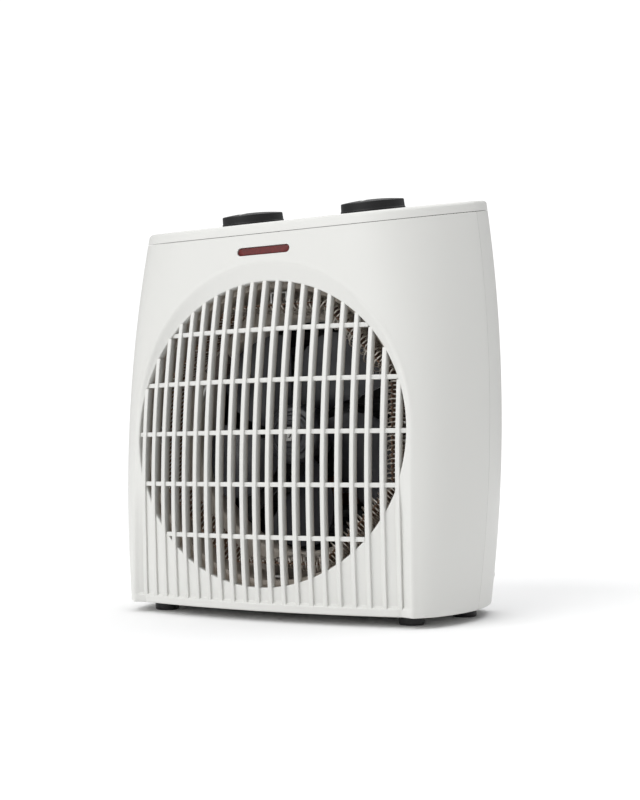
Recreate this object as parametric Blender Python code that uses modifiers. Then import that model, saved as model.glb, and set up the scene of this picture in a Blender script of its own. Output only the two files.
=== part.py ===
"""Upright fan heater with a round grille, an open wire element and two top knobs.

The heater stands on the XY plane and faces -Y. The origin is the bottom centre of its box.
Each named object is one real piece. Moving pieces have their origin on their joint's axis.
"""

import math

import bmesh
import bpy
from mathutils import Matrix, Vector

MM = 0.001
GAP = 0.3 * MM          # clearance kept between pieces that touch

# Outer form: every level is a rounded outline, widest a little behind its middle.
HALF_WIDTH = 125.6 * MM
BELLY_Z = 133.0 * MM            # height of the widest level
SIDE_CURVE = 0.537              # half width lost per metre squared away from that height
WIDEST_Y = 2.5 * MM
FRONT_Y = -58.4 * MM            # front face at its foremost height
FRONT_Z = 74.0 * MM
FRONT_CURVE = 0.0965
BACK_Y = 66.7 * MM
BODY_BOTTOM = 6.4 * MM
BODY_LOFT_TOP = 0.290
FRONT_SQUARENESS_BOTTOM = 11.6  # outline exponent across, at the bottom and at the front's top edge
FRONT_SQUARENESS_TOP = 4.9
FRONT_DEPTH_EXPONENT = 1.3
BACK_SQUARENESS = 12.0
BACK_DEPTH_EXPONENT = 1.92
WALL = 2.5 * MM
FRONT_STEPS, BACK_STEPS = 9, 6  # outline steps in each quarter

# Top cover: a sloping lid that rises towards the back.
TOP_SLOPE = 0.228
TOP_ANGLE = math.atan(TOP_SLOPE)
TOP_EDGE = Vector((0.0, -57.5 * MM, 244.4 * MM))
COVER_DEPTH = 6.5 * MM

SEAM_Y = 3.5 * MM               # front and rear shell meet here

# Grille: a shallow dome over a round opening.
AXIS_Z = 114.5 * MM             # centre of opening, fan and motor
GRILLE_FRONT_Y = -67.05 * MM
DOME_X, DOME_Z = 1.48, 0.869    # depth gained per metre squared across and up
DOME_CENTRE_Z = 88.5 * MM
OPENING_RADIUS = 93.8 * MM
SLAT_PITCH = 8.9 * MM
SLATS_EACH_SIDE = 10
SLAT_WIDTH, SLAT_DEPTH = 2.8 * MM, 6.0 * MM
BAR_PITCH = 31.7 * MM
BARS_EACH_SIDE = 2
BAR_HEIGHT, BAR_DEPTH, BAR_RECESS = 2.8 * MM, 3.4 * MM, 1.8 * MM
PANEL_THICKNESS = 2.5 * MM
PANEL_HALF_WIDTH = 96.5 * MM
PANEL_BOTTOM = BODY_BOTTOM
PANEL_STEPS = 15
ARCH_RISE = 103.0 * MM          # arch top above the opening's centre
NICHE_GAP = 0.4 * MM
COLLAR_RADIUS = 96.0 * MM
COLLAR_BACK_Y = -45.2 * MM
COLLAR_COVER = 1.2 * MM         # the collar starts this far behind the dome
SLAT_RECESS = 0.35 * MM

# Air duct, element ring, fan and motor lie on one axis, from front to back.
DUCT_RADIUS, DUCT_WALL = 91.0 * MM, 2.0 * MM
DUCT_FRONT_Y, DUCT_STEP_Y, DUCT_BACK_Y = -44.6 * MM, -10.0 * MM, 12.0 * MM
VENTURI_RADIUS = 75.5 * MM
BOARD_COUNT = 8
BOARD_APOTHEM, BOARD_THICKNESS, BOARD_LENGTH = 80.0 * MM, 0.8 * MM, 63.0 * MM
BOARD_FRONT_Y, BOARD_BACK_Y = -43.0 * MM, -16.0 * MM
COIL_DEPTH, COIL_THICKNESS = 11.0 * MM, 12.0 * MM
COIL_FRONTS_Y = (-42.0 * MM, -29.0 * MM)
FAN_RADIUS, HUB_RADIUS = 72.0 * MM, 19.5 * MM
HUB_FRONT_Y, HUB_BACK_Y = -21.0 * MM, 3.0 * MM
BLADE_COUNT = 5
SHAFT_RADIUS = 2.5 * MM
SHAFT_FRONT_Y, SHAFT_BACK_Y = -25.0 * MM, 55.0 * MM
STACK_FRONT_Y, STACK_BACK_Y = 24.0 * MM, 42.0 * MM
ROTOR_RADIUS = 12.0 * MM
BEARING_RADIUS = 5.0 * MM

# Controls
KNOB_X, KNOB_Y = 45.1 * MM, 9.6 * MM
KNOB_RADIUS, KNOB_TOP_RADIUS, KNOB_HEIGHT = 21.2 * MM, 20.7 * MM, 8.3 * MM
SPINDLE_RADIUS = 3.0 * MM
LENS_HALF_LENGTH, LENS_HALF_HEIGHT, LENS_Z = 18.3 * MM, 2.3 * MM, 227.4 * MM

# Feet and screws: x, y places on the right-hand side, mirrored to the left.
FOOT_RADIUS = 7.8 * MM
FOOT_PLACES = {"front": (87.1 * MM, -29.5 * MM), "rear": (101.0 * MM, 23.0 * MM)}
SCREW_PLACES = {"lower": (105.0 * MM, 24.0 * MM), "upper": (88.0 * MM, 224.0 * MM)}
BOSS_RADIUS = 4.5 * MM

# Air intake slots and cord inlet in the back wall
INTAKE_RADIUS, INTAKE_PITCH, INTAKE_HEIGHT = 82.0 * MM, 10.5 * MM, 4.4 * MM
INLET_PLACE = (94.0 * MM, 60.0 * MM, 32.0 * MM)
INLET_SEAT = 64.9 * MM          # flat counterbore that the inlet bush's flange sits on
INLET_FLANGE = 8.0 * MM

FAR = 0.4                       # half size of a cutter that only has to reach past the heater


# ---------------------------------------------------------------- scene helpers

def clear_scene():
    """Remove every object of the start-up scene."""
    for thing in list(bpy.data.objects):
        bpy.data.objects.remove(thing)


def make_collection(name):
    group = bpy.data.collections.new(name)
    bpy.context.scene.collection.children.link(group)
    return group


def make_material(name, colour, roughness, metallic=0.0):
    """Principled material with one colour."""
    material = bpy.data.materials.new(name)
    material.use_nodes = True
    shader = material.node_tree.nodes["Principled BSDF"]
    shader.inputs["Base Color"].default_value = (*colour, 1.0)
    shader.inputs["Roughness"].default_value = roughness
    shader.inputs["Metallic"].default_value = metallic
    material.diffuse_color = (*colour, 1.0)
    return material


clear_scene()
PARTS = make_collection("fan_heater")
CUTTERS = make_collection("cutters")
MATERIALS = {
    "white_plastic": make_material("white_plastic", (0.82, 0.82, 0.80), 0.42),
    "black_plastic": make_material("black_plastic", (0.025, 0.025, 0.028), 0.4),
    "fan_plastic": make_material("fan_plastic", (0.03, 0.03, 0.035), 0.45),
    "red_lens": make_material("red_lens", (0.23, 0.03, 0.03), 0.25),
    "rubber": make_material("rubber", (0.02, 0.02, 0.02), 0.8),
    "mica": make_material("mica", (0.13, 0.075, 0.045), 0.55),
    "resistance_wire": make_material("resistance_wire", (0.55, 0.53, 0.5), 0.3, 1.0),
    "steel": make_material("steel", (0.55, 0.55, 0.56), 0.35, 1.0),
    "laminations": make_material("laminations", (0.25, 0.25, 0.26), 0.5, 1.0),
    "bronze": make_material("bronze", (0.45, 0.3, 0.15), 0.4, 1.0),
    "winding": make_material("winding", (0.45, 0.12, 0.04), 0.4),
    "bakelite": make_material("bakelite", (0.05, 0.04, 0.035), 0.5),
    "glass_lamp": make_material("glass_lamp", (0.85, 0.45, 0.3), 0.1),
}


def place(name, mesh, material=None, matrix=None):
    """Link a mesh as a named piece, or as a cutter when it has no material."""
    thing = bpy.data.objects.new(name, mesh)
    if material is None:
        CUTTERS.objects.link(thing)
        thing.hide_render = True
        thing.display_type = 'WIRE'
    else:
        PARTS.objects.link(thing)
        mesh.materials.append(MATERIALS[material])
    if matrix is not None:
        thing.matrix_world = matrix
    return thing


def mesh_from(name, work):
    """Turn a bmesh into a mesh with outward faces."""
    bmesh.ops.recalc_face_normals(work, faces=work.faces)
    mesh = bpy.data.meshes.new(name)
    work.to_mesh(mesh)
    work.free()
    return mesh


def combine(target, other, operation):
    """Add a Boolean to target. The other object becomes a hidden cutter."""
    modifier = target.modifiers.new(f"{operation.lower()}_{other.name}", 'BOOLEAN')
    modifier.operation = operation
    modifier.object = other
    modifier.solver = 'EXACT'
    return target


def cut(target, other):
    return combine(target, other, 'DIFFERENCE')


def join(target, other):
    return combine(target, other, 'UNION')


# ---------------------------------------------------------------- basic shapes

def box(name, low, high, material=None, matrix=None):
    """Box between two corners, in the frame that matrix gives."""
    work = bmesh.new()
    bmesh.ops.create_cube(work, size=1.0)
    low, high = Vector(low), Vector(high)
    size = high - low
    bmesh.ops.scale(work, vec=size, verts=work.verts)
    bmesh.ops.translate(work, vec=(low + high) / 2, verts=work.verts)
    return place(name, mesh_from(name, work), material, matrix)


def boxes(name, corner_pairs, material=None, matrix=None):
    """Several separate boxes in one mesh, for use as one cutter."""
    work = bmesh.new()
    for low, high in corner_pairs:
        low, high = Vector(low), Vector(high)
        made = bmesh.ops.create_cube(work, size=1.0)
        bmesh.ops.scale(work, vec=high - low, verts=made["verts"])
        bmesh.ops.translate(work, vec=(low + high) / 2, verts=made["verts"])
    return place(name, mesh_from(name, work), material, matrix)


def turned(name, profile, material=None, matrix=None, segments=32, ring=False):
    """Turn a profile of (radius, height) points about Z. A ring's profile closes on itself."""
    mesh = bpy.data.meshes.new(name)
    points = [(radius, 0.0, height) for radius, height in profile]
    edges = [(index, index + 1) for index in range(len(points) - 1)]
    if ring:
        edges.append((len(points) - 1, 0))
    mesh.from_pydata(points, edges, [])
    thing = place(name, mesh, material, matrix)
    screw = thing.modifiers.new("turn", 'SCREW')
    screw.steps = screw.render_steps = segments
    screw.use_merge_vertices = True
    screw.merge_threshold = 1e-6
    return thing


def rod(name, radius, start, end, material=None, matrix=None, segments=24):
    """Plain cylinder from height start to height end on local Z."""
    profile = [(0.0, end), (radius, end), (radius, start), (0.0, start)]
    return turned(name, profile, material, matrix, segments)


def tube(name, outer, inner, start, end, material=None, matrix=None, segments=32):
    """Hollow cylinder from height start to height end on local Z."""
    profile = [(outer, end), (outer, start), (inner, start), (inner, end)]
    return turned(name, profile, material, matrix, segments, ring=True)


def prism(name, outline, start, end, material=None, matrix=None):
    """Extrude an outline of (x, z) points along Y from start to end."""
    work = bmesh.new()
    face = work.faces.new([work.verts.new((x, start, z)) for x, z in outline])
    moved = bmesh.ops.extrude_face_region(work, geom=[face])["geom"]
    corners = [item for item in moved if isinstance(item, bmesh.types.BMVert)]
    bmesh.ops.translate(work, vec=(0.0, end - start, 0.0), verts=corners)
    return place(name, mesh_from(name, work), material, matrix)


def along_y(x=0.0, y=0.0, z=AXIS_Z):
    """Frame whose Z axis points to the back, for pieces on the fan's axis."""
    return Matrix.Translation((x, y, z)) @ Matrix.Rotation(-math.pi / 2, 4, 'X')


def on_cover(x, y):
    """Frame on the cover's top face at x, y, with Z square to the face."""
    height = TOP_EDGE.z + TOP_SLOPE * (y - TOP_EDGE.y)
    return Matrix.Translation((x, y, height)) @ Matrix.Rotation(TOP_ANGLE, 4, 'X')


# ---------------------------------------------------------------- outer form

def half_width(z):
    return HALF_WIDTH - SIDE_CURVE * (z - BELLY_Z) ** 2


def front_face(z):
    return FRONT_Y + FRONT_CURVE * (z - FRONT_Z) ** 2


def front_squareness(z):
    share = (z - BODY_BOTTOM) / (TOP_EDGE.z - BODY_BOTTOM)
    return FRONT_SQUARENESS_BOTTOM + (FRONT_SQUARENESS_TOP - FRONT_SQUARENESS_BOTTOM) * share


def quarter(width, depth, squareness, depth_exponent, steps):
    """Superellipse quarter from the side point to the middle, as (across, away) pairs."""
    for step in range(steps + 1):
        angle = math.pi / 2 * step / steps
        across = width * math.cos(angle) ** (2 / squareness) if step < steps else 0.0
        yield across, depth * math.sin(angle) ** (2 / depth_exponent)


def level_outline(z, inset):
    """Closed outline of one level, moved inwards by inset."""
    width = half_width(z) - inset
    front = list(quarter(width, WIDEST_Y - front_face(z) - inset, front_squareness(z),
                         FRONT_DEPTH_EXPONENT, FRONT_STEPS))
    back = list(quarter(width, BACK_Y - WIDEST_Y - inset, BACK_SQUARENESS,
                        BACK_DEPTH_EXPONENT, BACK_STEPS))
    right = [(x, WIDEST_Y - y) for x, y in reversed(front)]
    right += [(x, WIDEST_Y + y) for x, y in back[1:]]
    left = [(-x, y) for x, y in reversed(right[1:-1])]
    return right + left


def body_form(name, inset, bottom, top, levels, material=None):
    """Loft the outline of every level between bottom and top into a closed solid."""
    work = bmesh.new()
    rings = []
    for level in range(levels + 1):
        z = bottom + (top - bottom) * level / levels
        rings.append([work.verts.new((x, y, z)) for x, y in level_outline(z, inset)])
    for lower, upper in zip(rings, rings[1:]):
        for index, corner in enumerate(lower):
            following = (index + 1) % len(lower)
            work.faces.new((corner, lower[following], upper[following], upper[index]))
    work.faces.new(reversed(rings[0]))
    work.faces.new(rings[-1])
    return place(name, mesh_from(name, work), material)


def above_plane(name, offset):
    """Solid over the plane that lies offset above the cover's top face."""
    return box(name, (-FAR, -FAR, offset), (FAR, FAR, FAR), None, on_cover(0.0, TOP_EDGE.y))


def below_plane(name, offset):
    """Solid under the plane that lies offset above the cover's top face."""
    return box(name, (-FAR, -FAR, -FAR), (FAR, FAR, offset), None, on_cover(0.0, TOP_EDGE.y))


def dome(x, z):
    """Depth of the grille's front surface."""
    return GRILLE_FRONT_Y + DOME_X * x * x + DOME_Z * (z - DOME_CENTRE_Z) ** 2


def arch_outline(half, rise, bottom, steps=28):
    """Upright sides under a half ellipse, as (x, z) points."""
    turn = [math.pi * step / steps for step in range(steps + 1)]
    arc = [(half * math.cos(angle), AXIS_Z + rise * math.sin(angle)) for angle in turn]
    return [(half, bottom), *arc, (-half, bottom)]


def stadium_outline(half_length, half_height, centre_z, steps=8):
    """Bar with round ends, as (x, z) points."""
    points = []
    straight = half_length - half_height
    for side, start in ((1, -math.pi / 2), (-1, math.pi / 2)):
        for step in range(steps + 1):
            angle = start + math.pi * step / steps
            points.append((side * straight + half_height * math.cos(angle),
                           centre_z + half_height * math.sin(angle)))
    return points


# ---------------------------------------------------------------- casing

def screw_bosses(name, start, end, radius):
    """One cylinder at each housing screw, joined in one mesh."""
    work = bmesh.new()
    for x, z in SCREW_PLACES.values():
        for side in (-1, 1):
            made = bmesh.ops.create_cone(work, cap_ends=True, segments=16, radius1=radius,
                                         radius2=radius, depth=end - start)
            bmesh.ops.rotate(work, cent=(0, 0, 0), verts=made["verts"],
                             matrix=Matrix.Rotation(-math.pi / 2, 3, 'X'))
            bmesh.ops.translate(work, verts=made["verts"], vec=(side * x, (start + end) / 2, z))
    return place(name, mesh_from(name, work))


def foot_holes(name, row):
    """Stud holes for one row of feet."""
    x, y = FOOT_PLACES[row]
    work = bmesh.new()
    for side in (-1, 1):
        made = bmesh.ops.create_cone(work, cap_ends=True, segments=16, radius1=2.8 * MM,
                                     radius2=2.8 * MM, depth=20 * MM)
        bmesh.ops.translate(work, verts=made["verts"], vec=(side * x, y, BODY_BOTTOM))
    return place(name, mesh_from(name, work))


def hollow(name, start, end):
    """Inner space of the casing, with solid posts left standing at the housing screws."""
    space = body_form(name, WALL, BODY_BOTTOM + WALL, BODY_LOFT_TOP + MM, 8)
    return cut(space, screw_bosses(f"{name}_posts", start, end, BOSS_RADIUS))


def build_casing():
    over_seam = above_plane("over_cover_seam", -COVER_DEPTH - GAP / 2)

    front = body_form("front_shell", 0.0, BODY_BOTTOM, BODY_LOFT_TOP, 8, "white_plastic")
    cut(front, hollow("front_space", -70 * MM, SEAM_Y + 5 * MM))
    cut(front, box("behind_seam", (-FAR, SEAM_Y - GAP / 2, -FAR), (FAR, FAR, FAR)))
    cut(front, over_seam)
    cut(front, screw_bosses("pilot_holes", SEAM_Y - 16 * MM, SEAM_Y + 5 * MM, 1.9 * MM))
    cut(front, foot_holes("front_foot_holes", "front"))
    cut(front, prism("lens_slot", stadium_outline(LENS_HALF_LENGTH + GAP, LENS_HALF_HEIGHT + GAP,
                                                  LENS_Z), -FAR, -40 * MM))
    cut(front, prism("niche", arch_outline(PANEL_HALF_WIDTH + NICHE_GAP, ARCH_RISE + NICHE_GAP,
                                           PANEL_BOTTOM + 1.5 * MM), -FAR, -35 * MM))
    half = PANEL_HALF_WIDTH + MM
    cut(front, domed_strips("room_for_panel_foot", [(-half, half, 0.0, PANEL_BOTTOM + 1.6 * MM,
                                                     PANEL_STEPS, 1)],
                            -30 * MM, 30 * MM + PANEL_THICKNESS + GAP))

    rear = body_form("rear_shell", 0.0, BODY_BOTTOM, BODY_LOFT_TOP, 8, "white_plastic")
    cut(rear, hollow("rear_space", SEAM_Y - 5 * MM, 80 * MM))
    cut(rear, box("before_seam", (-FAR, -FAR, -FAR), (FAR, SEAM_Y + GAP / 2, FAR)))
    cut(rear, over_seam)
    cut(rear, screw_bosses("screw_wells", SEAM_Y + 6 * MM, FAR, 3.3 * MM))
    cut(rear, screw_bosses("screw_holes", SEAM_Y - 5 * MM, SEAM_Y + 20 * MM, 2.3 * MM))
    cut(rear, intake_slots())
    cut(rear, rod("inlet_hole", 5.3 * MM, -20 * MM, 20 * MM, None, along_y(*INLET_PLACE), 24))
    cut(rear, rod("inlet_seat", INLET_FLANGE + 0.6 * MM, INLET_SEAT - INLET_PLACE[1], 20 * MM, None,
                  along_y(*INLET_PLACE), 24))
    cut(rear, foot_holes("rear_foot_holes", "rear"))

    cover = body_form("top_cover", 0.0, BODY_BOTTOM, BODY_LOFT_TOP, 8, "white_plastic")
    cut(cover, below_plane("under_cover", -COVER_DEPTH + GAP / 2))
    cut(cover, above_plane("over_cover", 0.0))
    lid_space = body_form("lid_space", WALL, BODY_BOTTOM + WALL, BODY_LOFT_TOP, 8)
    cut(lid_space, above_plane("over_lid_space", -WALL))
    cut(cover, lid_space)
    for side, name in ((-1, "mode_hole"), (1, "thermostat_hole")):
        cut(cover, rod(name, SPINDLE_RADIUS + 1.0 * MM, -20 * MM, 20 * MM, None,
                       on_cover(side * KNOB_X, KNOB_Y), 24))


def intake_slots():
    """Two columns of level slots in the back wall, inside a circle round the fan's axis."""
    pairs = []
    rows = int(INTAKE_RADIUS / INTAKE_PITCH)
    for row in range(-rows, rows + 1):
        rise = row * INTAKE_PITCH
        reach = math.sqrt(INTAKE_RADIUS ** 2 - rise ** 2)
        for side in (-1, 1):
            ends = sorted((side * 2.5 * MM, side * reach))
            pairs.append(((ends[0], 50 * MM, AXIS_Z + rise - INTAKE_HEIGHT / 2),
                          (ends[1], 80 * MM, AXIS_Z + rise + INTAKE_HEIGHT / 2)))
    return boxes("intake_slots", pairs)


# ---------------------------------------------------------------- grille

def domed_strips(name, strips, front_recess, depth, material=None):
    """Strips that follow the dome. Each is (x0, x1, z0, z1, steps across, steps up)."""
    work = bmesh.new()
    for x0, x1, z0, z1, across, up in strips:
        def layer(shift):
            return [[work.verts.new((x, dome(x, z) + shift, z))
                     for x in (x0 + (x1 - x0) * i / across for i in range(across + 1))]
                    for z in (z0 + (z1 - z0) * j / up for j in range(up + 1))]
        front, back = layer(front_recess), layer(front_recess + depth)
        for j in range(up):
            for i in range(across):
                for sheet in (front, back):
                    work.faces.new((sheet[j][i], sheet[j][i + 1], sheet[j + 1][i + 1], sheet[j + 1][i]))
        rim = [(0, i) for i in range(across)] + [(j, across) for j in range(up)]
        rim += [(up, i) for i in range(across, 0, -1)] + [(j, 0) for j in range(up, 0, -1)]
        for here, there in zip(rim, rim[1:] + rim[:1]):
            work.faces.new((front[here[0]][here[1]], front[there[0]][there[1]],
                            back[there[0]][there[1]], back[here[0]][here[1]]))
    return place(name, mesh_from(name, work), material)


def collar(name, inner, outer, back, segments=64):
    """Short tube behind the opening's edge, with its front just under the dome."""
    work = bmesh.new()
    rings = []
    for radius, depth in ((outer, None), (outer, back), (inner, back), (inner, None)):
        ring = []
        for step in range(segments):
            angle = 2 * math.pi * (step + 0.5) / segments
            x, z = radius * math.cos(angle), AXIS_Z + radius * math.sin(angle)
            y = dome(x, z) + COLLAR_COVER if depth is None else depth
            ring.append(work.verts.new((x, y, z)))
        rings.append(ring)
    for ring, following in zip(rings, rings[1:] + rings[:1]):
        for step in range(segments):
            after = (step + 1) % segments
            work.faces.new((ring[step], ring[after], following[after], following[step]))
    return place(name, mesh_from(name, work))


def build_grille():
    half = PANEL_HALF_WIDTH
    top = AXIS_Z + ARCH_RISE
    panel = domed_strips("grille_panel", [(-half - MM, half + MM, PANEL_BOTTOM - MM, top + MM,
                                           PANEL_STEPS, 13)],
                         0.0, PANEL_THICKNESS, "white_plastic")
    outline = arch_outline(half, ARCH_RISE, PANEL_BOTTOM)
    combine(panel, prism("panel_outline", outline, -FAR, FAR), 'INTERSECT')
    join(panel, collar("opening_collar", OPENING_RADIUS - 1.5 * MM, COLLAR_RADIUS, COLLAR_BACK_Y))
    cut(panel, rod("opening", OPENING_RADIUS, -FAR, FAR, None, along_y(), 64))

    reach = (OPENING_RADIUS + COLLAR_RADIUS) / 2
    slats = []
    for index in range(-SLATS_EACH_SIDE, SLATS_EACH_SIDE + 1):
        x = index * SLAT_PITCH
        up = math.sqrt(reach ** 2 - (abs(x) + SLAT_WIDTH / 2) ** 2)
        slats.append((x - SLAT_WIDTH / 2, x + SLAT_WIDTH / 2, AXIS_Z - up, AXIS_Z + up, 1, 5))
    join(panel, domed_strips("slats", slats, SLAT_RECESS, SLAT_DEPTH))
    bars = []
    for index in range(-BARS_EACH_SIDE, BARS_EACH_SIDE + 1):
        z = AXIS_Z + index * BAR_PITCH
        side = math.sqrt(reach ** 2 - (abs(z - AXIS_Z) + BAR_HEIGHT / 2) ** 2)
        bars.append((-side, side, z - BAR_HEIGHT / 2, z + BAR_HEIGHT / 2, 9, 1))
    join(panel, domed_strips("cross_bars", bars, BAR_RECESS, BAR_DEPTH))


# ---------------------------------------------------------------- controls and lamp

def build_controls():
    for side, knob, spindle, housing, size in (
            (-1, "mode_knob", "mode_switch_shaft", "mode_switch_body", (13, 13, 16)),
            (1, "thermostat_knob", "thermostat_spindle", "thermostat_body", (10, 15, 13))):
        frame = on_cover(side * KNOB_X, KNOB_Y)
        lift = 0.5 * MM
        edge = 0.9 * MM
        crown = 1.4 * MM
        bore = SPINDLE_RADIUS + GAP
        floor = KNOB_HEIGHT - crown - 2.0 * MM
        turned(knob, [(0.0, KNOB_HEIGHT), (KNOB_TOP_RADIUS / 2, KNOB_HEIGHT - crown / 4),
                      (KNOB_TOP_RADIUS - edge, KNOB_HEIGHT - crown),
                      (KNOB_TOP_RADIUS, KNOB_HEIGHT - crown - edge), (KNOB_RADIUS, lift),
                      (KNOB_RADIUS - 1.8 * MM, lift), (KNOB_RADIUS - 2.2 * MM, floor),
                      (bore + 2 * MM, floor), (bore + 2 * MM, lift), (bore, lift),
                      (bore, floor + GAP), (0.0, floor + GAP)],
               "black_plastic", frame, 28)
        rod(spindle, SPINDLE_RADIUS, -15 * MM, floor, "steel", frame, 20)
        wide, deep, tall = (value * MM for value in size)
        body = box(housing, (-wide, -deep, -WALL - GAP - tall), (wide, deep, -WALL - GAP),
                   "bakelite", frame)
        cut(body, rod(f"{housing}_bore", SPINDLE_RADIUS + GAP, -15.4 * MM, 10 * MM, None, frame, 20))

    lens_front = front_face(LENS_Z) - 0.1 * MM
    prism("indicator_lens", stadium_outline(LENS_HALF_LENGTH, LENS_HALF_HEIGHT, LENS_Z),
          lens_front, lens_front + 4.0 * MM, "red_lens")
    lamp_y = lens_front + 9.0 * MM
    across = Matrix.Translation((0, lamp_y, LENS_Z)) @ Matrix.Rotation(math.pi / 2, 4, 'Y')
    rod("pilot_lamp", 2.6 * MM, -9 * MM, 9 * MM, "glass_lamp", across, 16)
    holder = box("lamp_holder", (-12 * MM, lamp_y - 3.5 * MM, LENS_Z - 4 * MM),
                 (12 * MM, lamp_y + 5 * MM, LENS_Z + 4 * MM), "white_plastic")
    cut(holder, box("lamp_space", (-9.5 * MM, lamp_y - 10 * MM, LENS_Z - 3 * MM),
                    (9.5 * MM, lamp_y + 3.2 * MM, LENS_Z + 3 * MM)))


# ---------------------------------------------------------------- duct and heating element

def octagon(apothem):
    """Outline of the element ring as (x, z) points."""
    radius = apothem / math.cos(math.pi / BOARD_COUNT)
    turns = [2 * math.pi * (corner + 0.5) / BOARD_COUNT for corner in range(BOARD_COUNT)]
    return [(radius * math.cos(turn), AXIS_Z + radius * math.sin(turn)) for turn in turns]


def around_axis(turn):
    """Frame turned about the fan's axis, with Z pointing away from it."""
    return Matrix.Translation((0, 0, AXIS_Z)) @ Matrix.Rotation(turn, 4, 'Y')


def build_duct():
    outer = DUCT_RADIUS + DUCT_WALL
    throat = VENTURI_RADIUS + DUCT_WALL
    turned("air_duct", [(throat, DUCT_BACK_Y), (throat, DUCT_STEP_Y + DUCT_WALL),
                        (outer, DUCT_STEP_Y + DUCT_WALL), (outer, DUCT_FRONT_Y),
                        (DUCT_RADIUS, DUCT_FRONT_Y), (DUCT_RADIUS, DUCT_STEP_Y),
                        (VENTURI_RADIUS, DUCT_STEP_Y), (VENTURI_RADIUS, DUCT_BACK_Y)],
           "white_plastic", along_y(), 56, ring=True)


def build_element():
    half = BOARD_LENGTH / 2
    for index in range(BOARD_COUNT):
        box(f"mica_board_{index + 1}", (-half, BOARD_FRONT_Y, BOARD_APOTHEM),
            (half, BOARD_BACK_Y, BOARD_APOTHEM + BOARD_THICKNESS), "mica",
            around_axis(2 * math.pi * index / BOARD_COUNT))
    outer = BOARD_APOTHEM - GAP
    inner = outer - COIL_THICKNESS
    for name, front in zip(("heating_wire_low", "heating_wire_high"), COIL_FRONTS_Y):
        ring = prism(name, octagon(outer), front, front + COIL_DEPTH, "resistance_wire")
        cut(ring, prism(f"{name}_space", octagon(inner), -FAR, FAR))
    foot = BOARD_APOTHEM + BOARD_THICKNESS + GAP
    for index in range(4):
        clip = box(f"element_clip_{index + 1}", (-6 * MM, -36 * MM, foot),
                   (6 * MM, -22 * MM, DUCT_RADIUS - 1.2 * MM), "steel",
                   around_axis(math.pi / 2 * index))
        cut(clip, box(f"clip_space_{index + 1}", (-4.8 * MM, -FAR, foot + 1.2 * MM),
                      (4.8 * MM, FAR, DUCT_RADIUS - 2.4 * MM), None,
                      around_axis(math.pi / 2 * index)))
    cut_out_frame = around_axis(-math.pi / 4)
    box("thermal_cutout", (-8 * MM, -40 * MM, 56 * MM), (8 * MM, -30 * MM, 66 * MM),
        "bakelite", cut_out_frame)
    rod("thermal_fuse", 1.8 * MM, -7 * MM, 7 * MM, "steel",
        around_axis(-math.pi / 4 - 0.35) @ Matrix.Translation((0, -35 * MM, 62 * MM))
        @ Matrix.Rotation(math.pi / 2, 4, 'Y'), 12)


# ---------------------------------------------------------------- fan and motor

def blade_grid(turn, across, out):
    """Points of one blade: a curved sheet that widens outwards and twists along the axis."""
    root, tip = HUB_RADIUS - 2.5 * MM, FAN_RADIUS
    for j in range(out + 1):
        share = j / out
        radius = root + (tip - root) * share
        spread = math.radians(46 + 10 * math.sin(math.pi * share))
        rise = (18 - 5 * share) * MM
        row = []
        for i in range(across + 1):
            place_across = i / across - 0.5
            trim = 1 - 6.5 * MM / tip * (2 * place_across) ** 4 * share
            angle = turn + 0.35 * share + spread * place_across
            row.append((radius * trim * math.cos(angle), radius * trim * math.sin(angle),
                        -5 * MM + rise * place_across))
        yield row


def build_fan():
    frame = along_y()
    impeller = turned("fan_impeller", [
        (SHAFT_RADIUS + GAP, HUB_FRONT_Y + 1 * MM), (8 * MM, HUB_FRONT_Y),
        (14 * MM, HUB_FRONT_Y + 0.8 * MM), (HUB_RADIUS, HUB_FRONT_Y + 5 * MM),
        (HUB_RADIUS, HUB_BACK_Y), (HUB_RADIUS - 2 * MM, HUB_BACK_Y),
        (HUB_RADIUS - 2 * MM, HUB_FRONT_Y + 6 * MM), (6.5 * MM, HUB_FRONT_Y + 4 * MM),
        (6 * MM, HUB_BACK_Y), (SHAFT_RADIUS + GAP, HUB_BACK_Y)][::-1],
        "fan_plastic", frame, 28, ring=True)
    work = bmesh.new()
    thickness = 1.6 * MM
    across, out = 4, 4
    for index in range(BLADE_COUNT):
        sheets = []
        for shift in (0.0, thickness):
            rows = blade_grid(2 * math.pi * index / BLADE_COUNT, across, out)
            sheets.append([[work.verts.new((x, y, z + shift)) for x, y, z in row] for row in rows])
        low, high = sheets
        for j in range(out):
            for i in range(across):
                for sheet in sheets:
                    work.faces.new((sheet[j][i], sheet[j][i + 1], sheet[j + 1][i + 1], sheet[j + 1][i]))
        rim = [(0, i) for i in range(across)] + [(j, across) for j in range(out)]
        rim += [(out, i) for i in range(across, 0, -1)] + [(j, 0) for j in range(out, 0, -1)]
        for here, there in zip(rim, rim[1:] + rim[:1]):
            work.faces.new((low[here[0]][here[1]], low[there[0]][there[1]],
                            high[there[0]][there[1]], high[here[0]][here[1]]))
    join(impeller, place("blades", mesh_from("blades", work), None, frame))

    rod("motor_shaft", SHAFT_RADIUS, SHAFT_FRONT_Y, SHAFT_BACK_Y, "steel", frame, 16)
    nut = rod("fan_nut", 5 * MM, HUB_FRONT_Y - 3 * MM, HUB_FRONT_Y - GAP, "steel", frame, 6)
    cut(nut, rod("nut_bore", SHAFT_RADIUS + GAP, -FAR, FAR, None, frame, 16))
    tube("motor_rotor", ROTOR_RADIUS, SHAFT_RADIUS + GAP, STACK_FRONT_Y - 1 * MM,
         STACK_BACK_Y + 1 * MM, "laminations", frame, 32)


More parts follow.
